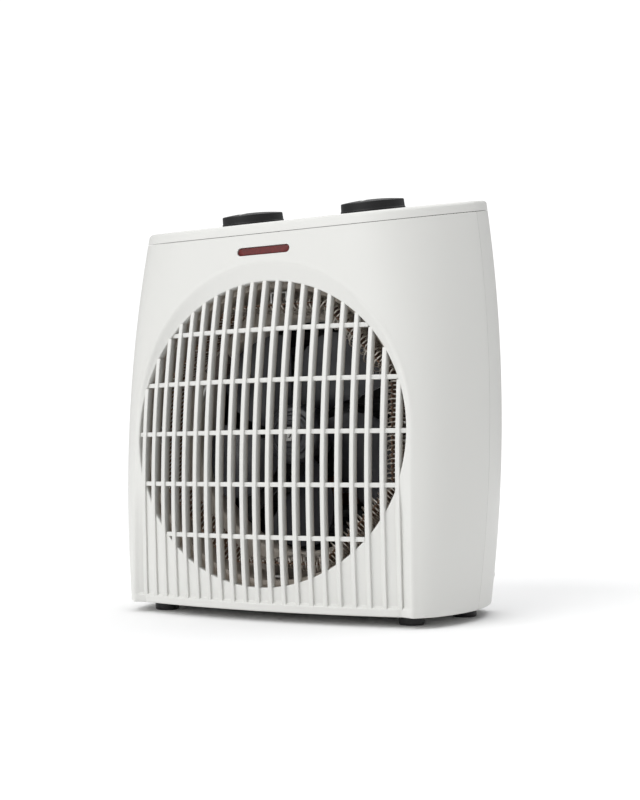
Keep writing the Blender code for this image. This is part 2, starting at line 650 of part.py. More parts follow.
def build_motor():
    """Shaded-pole motor: a laminated frame with the rotor above and the coil below."""
    def at_axis(x0, y0, z0, x1, y1, z1):
        return ((x0 * MM, y0 * MM, AXIS_Z + z0 * MM), (x1 * MM, y1 * MM, AXIS_Z + z1 * MM))

    front, back = STACK_FRONT_Y / MM, STACK_BACK_Y / MM
    stator = box("motor_stator", *at_axis(-26, front, -38, 26, back, 20), "laminations")
    cut(stator, box("coil_window", *at_axis(-17, -400, -28, 17, 400, -16.5)))
    cut(stator, rod("rotor_bore", ROTOR_RADIUS + 0.6 * MM, -FAR, FAR, None, along_y(), 32))

    coil = box("motor_coil", *at_axis(-16, front - 7, -46, 16, back + 7, -17), "winding")
    cut(coil, box("coil_core_space", *at_axis(-400, front - 0.3, -38.3, 400, back + 0.3, -27.7)))

    for name, plate, posts in (("motor_bracket_front", (15, 18), (17, front - 0.3)),
                               ("motor_bracket_rear", (48, 51), (back + 0.3, 49))):
        bracket = box(name, *at_axis(-24, plate[0], -8, 24, plate[1], 8), "steel")
        for side in (-1, 1):
            join(bracket, rod(f"{name}_post_{side}", 3.5 * MM, posts[0] * MM, posts[1] * MM,
                              None, along_y(side * 20 * MM), 16))
        cut(bracket, rod(f"{name}_seat", BEARING_RADIUS + GAP, -FAR, FAR, None, along_y(), 24))
        tube(name.replace("bracket", "bearing"), BEARING_RADIUS, SHAFT_RADIUS + 0.4 * MM,
             (plate[0] - 0.1) * MM, (plate[1] + 0.4) * MM, "bronze", along_y(), 24)

    start, end = DUCT_BACK_Y + GAP, 14.7 * MM
    spider = turned("motor_mount", [(30 * MM, end), (30 * MM, start), (8 * MM, start), (8 * MM, end)],
                    "steel", along_y(), 40, ring=True)
    for index in range(4):
        turn = math.pi / 4 + math.pi / 2 * index
        join(spider, box(f"mount_arm_{index}", (-6 * MM, start, 26 * MM),
                         (6 * MM, end, VENTURI_RADIUS + DUCT_WALL), None, around_axis(turn)))


# ---------------------------------------------------------------- feet, inlet and fasteners

def build_feet():
    stud = 2.4 * MM
    top = BODY_BOTTOM - GAP
    for row, (x, y) in FOOT_PLACES.items():
        for side, hand in ((-1, "left"), (1, "right")):
            turned(f"foot_{row}_{hand}", [
                (0.0, BODY_BOTTOM + WALL + 2 * MM), (stud, BODY_BOTTOM + WALL + 2 * MM), (stud, top),
                (FOOT_RADIUS, top), (FOOT_RADIUS, 1 * MM), (FOOT_RADIUS - 0.8 * MM, 0.0), (0.0, 0.0)],
                "rubber", Matrix.Translation((side * x, y, 0.0)), 24)


def build_inlet():
    x, y, z = INLET_PLACE
    seat = INLET_SEAT - y + GAP
    turned("cord_inlet_bush", [
        (INLET_FLANGE, seat + 1.5 * MM), (INLET_FLANGE, seat), (5 * MM, seat), (5 * MM, -4 * MM),
        (3.7 * MM, -4 * MM), (3.7 * MM, seat + 1.5 * MM)],
        "black_plastic", along_y(x, y, z), 24, ring=True)
    shelf = BODY_BOTTOM + WALL + GAP
    box("terminal_block", (52 * MM, 30 * MM, shelf), (80 * MM, 44 * MM, 24 * MM), "bakelite")
    clamp = box("cord_clamp", (x - 5.5 * MM, 42 * MM, shelf), (x + 5.5 * MM, 50 * MM, z + 6 * MM),
                "black_plastic")
    cut(clamp, rod("clamp_space", 3.7 * MM, -FAR, FAR, None, along_y(x, y, z), 20))


def build_screws():
    """Four long-reach screws that pull the rear shell on to the front shell."""
    head = SEAM_Y + 6 * MM + GAP
    for row, (x, z) in SCREW_PLACES.items():
        for side, hand in ((-1, "left"), (1, "right")):
            turned(f"housing_screw_{row}_{hand}", [
                (0.0, 2 * MM), (3 * MM, 2 * MM), (3 * MM, 0.0), (1.6 * MM, 0.0),
                (1.6 * MM, -19 * MM), (0.0, -20.5 * MM)],
                "steel", along_y(side * x, head + 14 * MM, z), 16)


build_casing()
build_grille()
build_controls()
build_duct()
build_element()
build_fan()
build_motor()
build_feet()
build_inlet()
build_screws()
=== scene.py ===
"""Looks of an upright fan heater with a domed slatted grille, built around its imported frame.

Each sub-assembly is a class that holds its sizes and makes its own meshes. Every mesh is a surface worked
out on a grid of two parameters, or a profile carried along a path. Lengths are in metres, with +Z up and
the grille facing -Y.
"""

from __future__ import annotations

import logging
import math
from dataclasses import dataclass, field
from enum import Enum
from typing import Any, Callable, Iterable, Sequence

import bmesh
import bpy
import numpy as np
from mathutils import Euler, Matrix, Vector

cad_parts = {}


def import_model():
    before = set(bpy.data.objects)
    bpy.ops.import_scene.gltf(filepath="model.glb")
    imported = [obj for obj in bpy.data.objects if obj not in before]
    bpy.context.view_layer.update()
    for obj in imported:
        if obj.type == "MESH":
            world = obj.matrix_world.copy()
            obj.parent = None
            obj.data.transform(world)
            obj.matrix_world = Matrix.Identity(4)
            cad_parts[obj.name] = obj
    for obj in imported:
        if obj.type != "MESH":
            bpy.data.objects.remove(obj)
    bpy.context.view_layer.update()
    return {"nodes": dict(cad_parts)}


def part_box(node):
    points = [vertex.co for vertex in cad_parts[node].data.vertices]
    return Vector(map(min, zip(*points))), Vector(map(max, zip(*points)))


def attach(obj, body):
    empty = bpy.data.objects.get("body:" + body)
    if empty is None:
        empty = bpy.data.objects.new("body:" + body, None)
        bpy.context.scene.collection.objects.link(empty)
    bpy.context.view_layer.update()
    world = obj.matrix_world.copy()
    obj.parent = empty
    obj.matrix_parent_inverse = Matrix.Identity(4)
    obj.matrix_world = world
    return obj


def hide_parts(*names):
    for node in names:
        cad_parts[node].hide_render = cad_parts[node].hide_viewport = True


LOG = logging.getLogger("fan_heater")
MM = 0.001
TAU = 2.0 * math.pi
AXIS_Z = 114.5 * MM
KNOB_X, KNOB_Y = 45.1 * MM, 9.6 * MM
ACROSS, DEPTH, UP = np.eye(3)
FLIP = np.array([-1.0, 1.0, 1.0])
SHARP = 35.0
MERGE = 2e-7
Array = np.ndarray
Colour = tuple[float, float, float]


class Body(Enum):
    """The rigid bodies that pieces ride on."""

    HOUSING = "housing"
    MODE = "mode_control"
    THERMOSTAT = "thermostat_control"
    ROTOR = "fan_rotor"


class Slot(Enum):
    """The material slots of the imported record."""

    WHITE = "white_plastic"
    LENS = "red_lens"
    LAMP = "lamp_glass"
    BLACK = "black_plastic"
    FAN = "fan_plastic"
    BAKELITE = "bakelite"
    STEEL = "steel"
    LAMINATIONS = "laminations"
    WINDING = "winding"
    BRONZE = "bronze"
    WIRE = "resistance_wire"
    MICA = "mica"
    RUBBER = "rubber"


# ---------------------------------------------------------------- surfaces


def smooth_step(low: float, high: float, value: Array) -> Array:
    """Return 0 below low, 1 above high and a smooth cubic between them."""
    share = np.clip((value - low) / (high - low), 0.0, 1.0)
    return share * share * (3.0 - 2.0 * share)


def stack(x: Array, y: Array, z: Array) -> Array:
    """Broadcast three coordinate arrays and stack them as points along a last axis."""
    return np.stack(np.broadcast_arrays(x, y, z), axis=-1).astype(float)


def arc(start: float, end: float, steps: int) -> Array:
    """Return steps + 1 evenly spaced angles in radians, from start to end in degrees."""
    return np.radians(np.linspace(start, end, steps + 1))


@dataclass
class Surface:
    """Points and four-cornered faces, kept as arrays until they become a mesh."""

    points: Array
    faces: Array

    @classmethod
    def from_grid(cls, grid: Array, wrap_rows: bool = False, wrap_columns: bool = False,
                  keep: Array | None = None) -> Surface:
        """Join neighbouring points of a grid into quads.

        Args:
            grid: Points with shape (rows, columns, 3).
            wrap_rows: Whether the last row joins the first.
            wrap_columns: Whether the last column joins the first.
            keep: Which faces to keep, with one value for each face of the grid, or None for all.

        Returns:
            The surface.
        """
        rows, columns = grid.shape[:2]
        index = np.arange(rows * columns).reshape(rows, columns)
        if wrap_rows:
            index = np.vstack([index, index[:1]])
        if wrap_columns:
            index = np.hstack([index, index[:, :1]])
        faces = np.stack([index[:-1, :-1], index[:-1, 1:], index[1:, 1:], index[1:, :-1]], axis=-1)
        faces = faces[keep] if keep is not None else faces.reshape(-1, 4)
        return cls(grid.reshape(-1, 3), faces.reshape(-1, 4))

    @classmethod
    def joined(cls, parts: Iterable[Surface]) -> Surface:
        """Put several surfaces into one, with their points kept apart.

        Args:
            parts: The surfaces to join.

        Returns:
            The one surface.
        """
        parts = list(parts)
        starts = np.cumsum([0] + [len(part.points) for part in parts[:-1]])
        return cls(np.concatenate([part.points for part in parts]),
                   np.concatenate([part.faces + start for part, start in zip(parts, starts)]))

    def moved(self, place: Callable[[Array], Array]) -> Surface:
        """Return a copy with its points sent through a function."""
        return Surface(place(self.points), self.faces)

    def mirrored(self) -> Surface:
        """Return the mirror image across the middle plane, with its faces turned round."""
        return Surface(self.points * FLIP, self.faces[:, ::-1])

    def thickened(self, partners: Array) -> Surface:
        """Close the surface into a wall.

        Points that coincide are merged first. Each point's partner is the matching point of the other
        side, and every free edge gets a face across to its partner edge.

        Args:
            partners: One point on the other side for each point.

        Returns:
            The closed wall.
        """
        keys = np.round(self.points, 7)
        _, first, inverse = np.unique(keys, axis=0, return_index=True, return_inverse=True)
        near, far = self.points[first], partners[first]
        faces = inverse.reshape(-1)[self.faces]
        edges = np.concatenate([faces[:, [i, (i + 1) % 4]] for i in range(4)])
        edges = edges[edges[:, 0] != edges[:, 1]]
        _, back, uses = np.unique(np.sort(edges, axis=1), axis=0, return_inverse=True, return_counts=True)
        free = edges[uses[back.reshape(-1)] == 1]
        shift = len(near)
        walls = np.stack([free[:, 1], free[:, 0], free[:, 0] + shift, free[:, 1] + shift], axis=-1)
        return Surface(np.concatenate([near, far]),
                       np.concatenate([faces, faces[:, ::-1] + shift, walls]))


def turned(profile: Array, steps: int = 64, closed: bool = False) -> Surface:
    """Turn a profile of (radius, height) points about the Z axis.

    Args:
        profile: Points with shape (count, 2).
        steps: Faces round the axis.
        closed: Whether the profile's last point joins its first.

    Returns:
        The turned surface.
    """
    angle = np.linspace(0.0, TAU, steps, endpoint=False)[None, :]
    radius, height = profile[:, :1], profile[:, 1:]
    grid = stack(radius * np.cos(angle), radius * np.sin(angle), height)
    return Surface.from_grid(grid, wrap_rows=closed, wrap_columns=True)


def rounded(corners: Sequence[tuple[float, float, float]], steps: int = 5, closed: bool = False) -> Array:
    """Round the corners of a flat outline.

    Each corner is (across, along, radius). The round is a quadratic curve between the points that lie
    the corner's radius away from it on both sides.

    Args:
        corners: The outline's corners, in order.
        steps: Pieces in each rounded corner.
        closed: Whether the last corner joins the first.

    Returns:
        The outline's points, with shape (count, 2).
    """
    data = np.array(corners, float)
    spots, radii = data[:, :2], data[:, 2]
    share = np.linspace(0.0, 1.0, steps + 1)[:, None]
    made = []
    for index, (spot, radius) in enumerate(zip(spots, radii)):
        end = not closed and index in (0, len(spots) - 1)
        if end or radius == 0.0:
            made.append(spot[None])
            continue
        ahead = spots[(index + 1) % len(spots)] - spot
        behind = spots[index - 1] - spot
        enter = spot + behind / np.linalg.norm(behind) * min(radius, np.linalg.norm(behind) / 2)
        leave = spot + ahead / np.linalg.norm(ahead) * min(radius, np.linalg.norm(ahead) / 2)
        made.append((1 - share) ** 2 * enter + 2 * share * (1 - share) * spot + share ** 2 * leave)
    return np.concatenate(made)


def carried(path: Array, section: Array, side: Array, up: Array, closed: bool = False) -> Surface:
    """Carry a closed section along a path.

    Args:
        path: Points with shape (count, 3).
        section: Closed outline with shape (corners, 2), as (along side, along up).
        side: Directions that the section's first number follows, with shape (count, 3) or (3,).
        up: Directions that its second number follows, with the same shape.
        closed: Whether the path joins itself; otherwise the ends are drawn together and closed.

    Returns:
        The closed tube or bar.
    """
    side, up = np.broadcast_to(side, path.shape), np.broadcast_to(up, path.shape)
    grid = (path[:, None] + side[:, None] * section[None, :, :1] + up[:, None] * section[None, :, 1:])
    if not closed:
        ends = [np.repeat(grid[i].mean(axis=0)[None, None], len(section), axis=1) for i in (0, -1)]
        grid = np.concatenate([ends[0], grid, ends[1]])
    return Surface.from_grid(grid, wrap_rows=closed, wrap_columns=True)


def wire(path: Array, radius: float, corners: int = 6, closed: bool = False) -> Surface:
    """Carry a small circle along a path, square to it.

    Args:
        path: Points with shape (count, 3).
        radius: The wire's radius.
        corners: Sides of the circle.
        closed: Whether the path joins itself.

    Returns:
        The closed wire.
    """
    ahead = np.roll(path, -1, axis=0) - np.roll(path, 1, axis=0)
    if not closed:
        ahead[0], ahead[-1] = path[1] - path[0], path[-1] - path[-2]
    ahead /= np.linalg.norm(ahead, axis=1, keepdims=True)
    lean = np.array([0.31, 0.87, 0.38])
    side = np.cross(ahead, lean)
    side /= np.linalg.norm(side, axis=1, keepdims=True)
    angle = np.linspace(0.0, TAU, corners, endpoint=False)
    section = radius * np.stack([np.cos(angle), np.sin(angle)], axis=-1)
    return carried(path, section, side, np.cross(side, ahead), closed)


def bar_section(width: float, depth: float, radius: float, steps: int = 4) -> Array:
    """Rectangle with round corners, from -width/2 to width/2 across and 0 to depth along."""
    half = width / 2
    return rounded([(-half, 0.0, radius), (half, 0.0, radius), (half, depth, radius),
                    (-half, depth, radius)], steps, closed=True)


def stadium(half_length: float, half_height: float, steps: int = 12) -> Array:
    """Closed outline of two half circles joined by straight sides.

    Args:
        half_length: Half of the whole length.
        half_height: Radius of the ends.
        steps: Pieces in each end.

    Returns:
        The outline's points, with shape (count, 2).
    """
    turn = arc(-90, 90, steps)
    straight = half_length - half_height
    right = np.stack([straight + half_height * np.cos(turn), half_height * np.sin(turn)], axis=-1)
    return np.concatenate([right, -right])


def slab(x: Array, front: Array, back: Array, low: float, high: float) -> Surface:
    """Flat plate between two depths that change across it, with both ends closed.

    Args:
        x: Places across the plate.
        front: Depth of its front edge at each place.
        back: Depth of its back edge at each place.
        low: Height of its lower face.
        high: Height of its upper face.

    Returns:
        The closed plate.
    """
    y = np.stack(np.broadcast_arrays(front, back, back, front), axis=-1) * np.ones((len(x), 1))
    grid = stack(x[:, None], y, np.array([low, low, high, high])[None])
    ends = [np.repeat(grid[i].mean(axis=0)[None, None], 4, axis=1) for i in (0, -1)]
    return Surface.from_grid(np.concatenate([ends[0], grid, ends[1]]), wrap_columns=True)


# ---------------------------------------------------------------- finishes


class Graph:
    """Short calls for adding and joining shader nodes in one tree."""

    def __init__(self, tree: bpy.types.NodeTree) -> None:
        """Keep the tree."""
        self.tree = tree

    def node(self, kind: str, inputs: dict[str | int, Any] | None = None, **settings: Any) -> Any:
        """Add a node.

        Args:
            kind: The node's type name without the ShaderNode prefix.
            inputs: Values or output sockets by input name or number.
            settings: Attributes of the node itself.

        Returns:
            The node.
        """
        made = self.tree.nodes.new(f"ShaderNode{kind}")
        for name, value in settings.items():
            setattr(made, name, value)
        for name, value in (inputs or {}).items():
            self.set(made.inputs[name], value)
        return made

    def set(self, socket: Any, value: Any) -> None:
        """Link an output socket to an input, or set the input's own value.

        Args:
            socket: The input.
            value: An output socket, or a plain value.
        """
        if isinstance(value, bpy.types.NodeSocket):
            self.tree.links.new(value, socket)
        elif isinstance(value, tuple) and len(value) == 3 and socket.type == "RGBA":
            socket.default_value = (*value, 1.0)
        else:
            socket.default_value = value

    def math(self, operation: str, first: Any, second: Any = 0.0, clamp: bool = False) -> Any:
        """Add a Math node and return its output."""
        return self.node("Math", {0: first, 1: second}, operation=operation, use_clamp=clamp).outputs[0]

    def mix(self, factor: Any, first: Any, second: Any) -> Any:
        """Mix two colours.

        Args:
            factor: The second colour's share.
            first: First colour.
            second: Second colour.

        Returns:
            The mixed colour's output.
        """
        made = self.node("Mix", data_type="RGBA")
        self.set(made.inputs[0], factor)
        self.set(made.inputs[6], first)
        self.set(made.inputs[7], second)
        return made.outputs[2]


def new_group(name: str, takes: Sequence[tuple[str, str, Any]], gives: Sequence[tuple[str, str]]) -> tuple:
    """Make an empty node group with named sockets.

    Args:
        name: The group's name.
        takes: Inputs as (name, socket kind, default value).
        gives: Outputs as (name, socket kind).

    Returns:
        The group, a Graph on it, its input node and its output node.
    """
    tree = bpy.data.node_groups.new(name, "ShaderNodeTree")
    for label, kind, default in takes:
        socket = tree.interface.new_socket(label, in_out="INPUT", socket_type=f"NodeSocket{kind}")
        if default is not None:
            socket.default_value = default
    for label, kind in gives:
        tree.interface.new_socket(label, in_out="OUTPUT", socket_type=f"NodeSocket{kind}")
    graph = Graph(tree)
    return tree, graph, tree.nodes.new("NodeGroupInput"), tree.nodes.new("NodeGroupOutput")


def grain_group() -> bpy.types.NodeTree:
    """Fine moulded grain over slow clouding.

    The clouding moves the colour towards a tint and shifts the roughness. The grain is a fine noise that
    comes out as a height.

    Returns:
        The node group.
    """
    if "moulded_grain" in bpy.data.node_groups:
        return bpy.data.node_groups["moulded_grain"]
    tree, graph, taken, given = new_group(
        "moulded_grain",
        [("Vector", "Vector", None), ("Colour", "Color", (0.8, 0.8, 0.8, 1.0)),
         ("Tint", "Color", (0.7, 0.7, 0.7, 1.0)), ("Clouding", "Float", 0.3), ("Cloud Scale", "Float", 30.0),
         ("Grain Scale", "Float", 2500.0), ("Roughness", "Float", 0.4), ("Roughness Spread", "Float", 0.08)],
        [("Colour", "Color"), ("Roughness", "Float"), ("Height", "Float")])
    cloud = graph.node("TexNoise", {"Vector": taken.outputs["Vector"], "Scale": taken.outputs["Cloud Scale"],
                                    "Detail": 4.0, "Roughness": 0.55}).outputs[0]
    grain = graph.node("TexNoise", {"Vector": taken.outputs["Vector"], "Scale": taken.outputs["Grain Scale"],
                                    "Detail": 2.0}).outputs[0]
    share = graph.math("MULTIPLY", cloud, taken.outputs["Clouding"], clamp=True)
    graph.set(given.inputs["Colour"], graph.mix(share, taken.outputs["Colour"], taken.outputs["Tint"]))
    spread = graph.math("MULTIPLY", graph.math("SUBTRACT", cloud, 0.5), taken.outputs["Roughness Spread"])
    graph.set(given.inputs["Roughness"], graph.math("ADD", taken.outputs["Roughness"], spread))
    graph.set(given.inputs["Height"], grain)
    return tree


def stripe_group() -> bpy.types.NodeTree:
    """Stripes across the vector's X axis, broken up by noise.

    Returns:
        The node group.
    """
    if "broken_stripes" in bpy.data.node_groups:
        return bpy.data.node_groups["broken_stripes"]
    tree, graph, taken, given = new_group(
        "broken_stripes",
        [("Vector", "Vector", None), ("Scale", "Float", 300.0), ("Distortion", "Float", 1.0)],
        [("Mask", "Float")])
    wave = graph.node("TexWave", {"Vector": taken.outputs["Vector"], "Scale": taken.outputs["Scale"],
                                  "Distortion": taken.outputs["Distortion"], "Detail": 2.0},
                      bands_direction="X").outputs["Fac"]
    graph.set(given.inputs["Mask"], wave)
    return tree


def painted_shade_depth_group() -> bpy.types.NodeTree:
    """Painted shade mask that rises from 0 to 1 with the depth behind a shallow dome.

    The dome's depth is front + across x^2 + up (z - centre)^2, and the mask runs from Start to End
    behind it. The mask paints the shade that falls deep between the grille's slats.

    Returns:
        The node group.
    """
    if "painted_shade_behind_dome" in bpy.data.node_groups:
        return bpy.data.node_groups["painted_shade_behind_dome"]
    tree, graph, taken, given = new_group(
        "painted_shade_behind_dome",
        [("Vector", "Vector", None), ("Front", "Float", 0.0), ("Across", "Float", 1.0), ("Up", "Float", 1.0),
         ("Centre", "Float", 0.0), ("Start", "Float", 0.0), ("End", "Float", 0.01)], [("Mask", "Float")])
    place = graph.node("SeparateXYZ", {0: taken.outputs["Vector"]}).outputs
    across = graph.math("MULTIPLY", graph.math("MULTIPLY", place[0], place[0]), taken.outputs["Across"])
    rise = graph.math("SUBTRACT", place[2], taken.outputs["Centre"])
    up = graph.math("MULTIPLY", graph.math("MULTIPLY", rise, rise), taken.outputs["Up"])
    dome = graph.math("ADD", graph.math("ADD", across, up), taken.outputs["Front"])
    span = graph.node("MapRange", {0: graph.math("SUBTRACT", place[1], dome), 1: taken.outputs["Start"],
                                   2: taken.outputs["End"], 3: 0.0, 4: 1.0}, interpolation_type="SMOOTHSTEP")
    graph.set(given.inputs["Mask"], span.outputs[0])
    return tree


@dataclass(frozen=True)
class DomePaintedShade:
    """Painted shade that deepens behind a dome, standing in for the shade on the slats' sides deep in the
    grille: its colour, strength and where the dome lies.
    """

    colour: Colour
    strength: float
    front: float
    across: float
    up: float
    centre: float
    start: float
    end: float


@dataclass(frozen=True)
class Finish:
    """A surface finish: how to paint one kind of material."""

    name: str
    slot: Slot
    colour: Colour
    tint: Colour
    roughness: float = 0.45
    spread: float = 0.08
    metallic: float = 0.0
    clouding: float = 0.3
    cloud_scale: float = 30.0
    grain_scale: float = 2500.0
    bump: float = 0.15
    coat: float = 0.0
    specular: float = 0.5
    stretch: tuple[float, float, float] = (1.0, 1.0, 1.0)
    stripes: float = 0.0
    stripe_depth: float = 0.5
    transmission: float = 0.0
    # Painted shade mixed into the colour deeper behind a dome, or None.
    shade: DomePaintedShade | None = None

    def material(self) -> bpy.types.Material:
        """Build the material on the first call, and find it again on later ones.

        Returns:
            The material.
        """
        if self.name in bpy.data.materials:
            return bpy.data.materials[self.name]
        made = bpy.data.materials.new(self.name)
        made.use_nodes = True
        graph = Graph(made.node_tree)
        shader = made.node_tree.nodes["Principled BSDF"]
        where = graph.node("TexCoord").outputs["Object"]
        mapping = graph.node("Mapping", {"Vector": where, "Scale": self.stretch})
        group = graph.node("Group", node_tree=grain_group())
        for name, value in (("Vector", mapping.outputs[0]), ("Colour", self.colour), ("Tint", self.tint),
                            ("Clouding", self.clouding), ("Cloud Scale", self.cloud_scale),
                            ("Grain Scale", self.grain_scale), ("Roughness", self.roughness),
                            ("Roughness Spread", self.spread)):
            graph.set(group.inputs[name], value)
        colour, height = group.outputs["Colour"], group.outputs["Height"]
        if self.stripes:
            lines = graph.node("Group", node_tree=stripe_group())
            graph.set(lines.inputs["Vector"], mapping.outputs[0])
            graph.set(lines.inputs["Scale"], self.stripes)
            graph.set(lines.inputs["Distortion"], 0.6)
            share = graph.math("MULTIPLY", lines.outputs["Mask"], self.stripe_depth)
            colour = graph.mix(share, colour, tuple(value * 0.35 for value in self.colour))
            height = lines.outputs["Mask"]
        # Painted shade: mix a warm taupe in deeper behind the dome, where the grille lies in shade.
        if self.shade:
            deep = graph.node("Group", node_tree=painted_shade_depth_group())
            for name, value in (("Vector", where), ("Front", self.shade.front), ("Across", self.shade.across),
                                ("Up", self.shade.up), ("Centre", self.shade.centre),
                                ("Start", self.shade.start), ("End", self.shade.end)):
                graph.set(deep.inputs[name], value)
            share = graph.math("MULTIPLY", deep.outputs["Mask"], self.shade.strength)
            colour = graph.mix(share, colour, self.shade.colour)
        bump = graph.node("Bump", {"Height": height, "Strength": self.bump, "Distance": 0.0002})
        for name, value in (("Base Color", colour), ("Roughness", group.outputs["Roughness"]),
                            ("Metallic", self.metallic), ("Coat Weight", self.coat),
                            ("Coat Roughness", 0.12), ("Specular IOR Level", self.specular),
                            ("Transmission Weight", self.transmission), ("Normal", bump.outputs[0])):
            graph.set(shader.inputs[name], value)
        return made


WHITE = Finish("satin_white_plastic", Slot.WHITE, (0.70, 0.70, 0.675), (0.665, 0.66, 0.63), 0.42,
               clouding=0.25, bump=0.05)
# The grille's taupe behind the dome is painted shade on the slats' sides deep inside the grille.
GRILLE_WHITE = Finish("satin_white_grille", Slot.WHITE, (0.715, 0.715, 0.69), (0.68, 0.675, 0.645), 0.40,
                      clouding=0.25, bump=0.05,
                      shade=DomePaintedShade((0.40, 0.325, 0.25), 0.85, -67.05 * MM, 1.48, 0.869, 88.5 * MM,
                                      2.9 * MM, 8.0 * MM))
DUCT_WHITE = Finish("natural_white_plastic", Slot.WHITE, (0.50, 0.455, 0.40), (0.38, 0.34, 0.29), 0.5,
                    clouding=0.5, bump=0.1)
BLACK = Finish("satin_black_plastic", Slot.BLACK, (0.014, 0.014, 0.0145), (0.022, 0.022, 0.023), 0.40,
               clouding=0.5, bump=0.10, specular=0.28)
# Near-black painted shade for the rear shell's inner faces.
SHADED = Finish("shaded_inner_face", Slot.WHITE, (0.035, 0.034, 0.033), (0.02, 0.02, 0.02), 0.7,
                clouding=0.6, bump=0.1)
DARK_STEEL = Finish("blackened_steel", Slot.STEEL, (0.055, 0.055, 0.058), (0.03, 0.03, 0.03), 0.42,
                    metallic=0.8, clouding=0.8, cloud_scale=150.0)
FAN_BLACK = Finish("glossy_fan_plastic", Slot.FAN, (0.022, 0.023, 0.028), (0.035, 0.036, 0.042), 0.30,
                   clouding=0.5, bump=0.08, coat=0.2)
RED_LENS = Finish("dull_red_lens", Slot.LENS, (0.215, 0.006, 0.005), (0.07, 0.005, 0.005), 0.42,
                  clouding=1.5, cloud_scale=650.0, bump=0.35, grain_scale=900.0, specular=0.35)
LAMP_GLASS = Finish("pilot_lamp_glass", Slot.LAMP, (0.9, 0.55, 0.4), (0.9, 0.4, 0.25), 0.08, transmission=0.8)
RUBBER = Finish("matte_rubber", Slot.RUBBER, (0.018, 0.018, 0.018), (0.035, 0.035, 0.035), 0.55,
                clouding=0.6, bump=0.3, grain_scale=1200.0)
MICA = Finish("laminated_mica", Slot.MICA, (0.27, 0.165, 0.10), (0.12, 0.068, 0.04), 0.5, spread=0.25,
              clouding=1.2, cloud_scale=140.0, grain_scale=500.0, bump=0.4, stretch=(0.4, 1.0, 1.0))
NICHROME = Finish("bright_nichrome", Slot.WIRE, (0.95, 0.92, 0.87), (0.62, 0.55, 0.47), 0.42, metallic=1.0,
                  clouding=0.6, cloud_scale=200.0, bump=0.1)
ZINC = Finish("zinc_plated_steel", Slot.STEEL, (0.56, 0.56, 0.55), (0.42, 0.42, 0.40), 0.35, spread=0.2,
              metallic=1.0, clouding=0.8, cloud_scale=120.0, stretch=(1.0, 1.0, 6.0))
CORE_STEEL = Finish("stacked_core_steel", Slot.LAMINATIONS, (0.12, 0.12, 0.125), (0.07, 0.07, 0.07), 0.45,
                    metallic=0.9, clouding=0.8, stripes=320.0, bump=0.5)
COPPER_COIL = Finish("enamelled_copper_coil", Slot.WINDING, (0.20, 0.065, 0.025), (0.12, 0.035, 0.012), 0.3,
                     metallic=0.6, clouding=0.5, stripes=420.0, bump=0.6)
SINTERED = Finish("sintered_bronze", Slot.BRONZE, (0.48, 0.32, 0.16), (0.30, 0.19, 0.09), 0.45,
                  metallic=0.9, clouding=0.9, cloud_scale=700.0, bump=0.3)
PHENOLIC = Finish("dull_phenolic", Slot.BAKELITE, (0.055, 0.038, 0.03), (0.03, 0.02, 0.016), 0.5,
                  clouding=0.8, cloud_scale=300.0, bump=0.3)
PRINT = Finish("grey_pad_print", Slot.BLACK, (0.10, 0.10, 0.105), (0.13, 0.13, 0.135), 0.6)
POINTER_WHITE = Finish("white_pad_print", Slot.WHITE, (0.78, 0.78, 0.76), (0.7, 0.7, 0.68), 0.55)


# ---------------------------------------------------------------- making pieces


def closed_mesh(name: str, surface: Surface) -> bpy.types.Mesh:
    """Make a mesh, with coinciding points merged and the faces turned outwards.

    Args:
        name: The mesh's name.
        surface: Its points and faces.

    Returns:
        The mesh.
    """
    mesh = bpy.data.meshes.new(name)
    faces = [tuple(dict.fromkeys(face)) for face in surface.faces.tolist()]
    mesh.from_pydata(surface.points.tolist(), [], [face for face in faces if len(face) > 2])
    work = bmesh.new()
    work.from_mesh(mesh)
    bmesh.ops.remove_doubles(work, verts=work.verts, dist=MERGE)
    bmesh.ops.recalc_face_normals(work, faces=work.faces)
    work.to_mesh(mesh)
    work.free()
    return mesh


def make_piece(name: str, surface: Surface, finish: Finish, body: Body, stands_for: Sequence[str] = (),
               sharp: float = SHARP) -> bpy.types.Object:
    """Turn a surface into a finished piece that rides on a body.

    Edges sharper than the angle stay crisp and the rest are smooth.

    Args:
        name: The piece's name.
        surface: Its surface, in the shared frame.
        finish: What it is made of.
        body: The body that it rides on.
        stands_for: Frame nodes that it replaces.
        sharp: Angle in degrees above which an edge stays crisp.

    Returns:
        The new object.
    """
    mesh = closed_mesh(name, surface)
    mesh.shade_smooth()
    mesh.set_sharp_from_angle(angle=math.radians(sharp))
    thing = bpy.data.objects.new(name, mesh)
    bpy.context.scene.collection.objects.link(thing)
    mesh.materials.append(finish.material())
    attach(thing, body.value)
    if stands_for:
        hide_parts(*stands_for)
    LOG.info("%s: %d faces", name, len(mesh.polygons))
    return thing


def cut_from(thing: bpy.types.Object, cutter_surface: Surface) -> None:
    """Cut a closed surface's volume out of a piece and keep the result as the piece's mesh.

    Args:
        thing: The piece to cut.
        cutter_surface: The closed surface that is taken away.
    """
    cutter = bpy.data.objects.new("cutter", closed_mesh("cutter", cutter_surface))
    bpy.context.scene.collection.objects.link(cutter)
    modifier = thing.modifiers.new("cut", "BOOLEAN")
    modifier.operation, modifier.object, modifier.solver = "DIFFERENCE", cutter, "EXACT"
    bpy.context.view_layer.update()
    shown = thing.evaluated_get(bpy.context.evaluated_depsgraph_get())
    thing.data = bpy.data.meshes.new_from_object(shown)
    thing.modifiers.clear()
    bpy.data.objects.remove(cutter)
    thing.data.set_sharp_from_angle(angle=math.radians(SHARP))


# ---------------------------------------------------------------- outer form


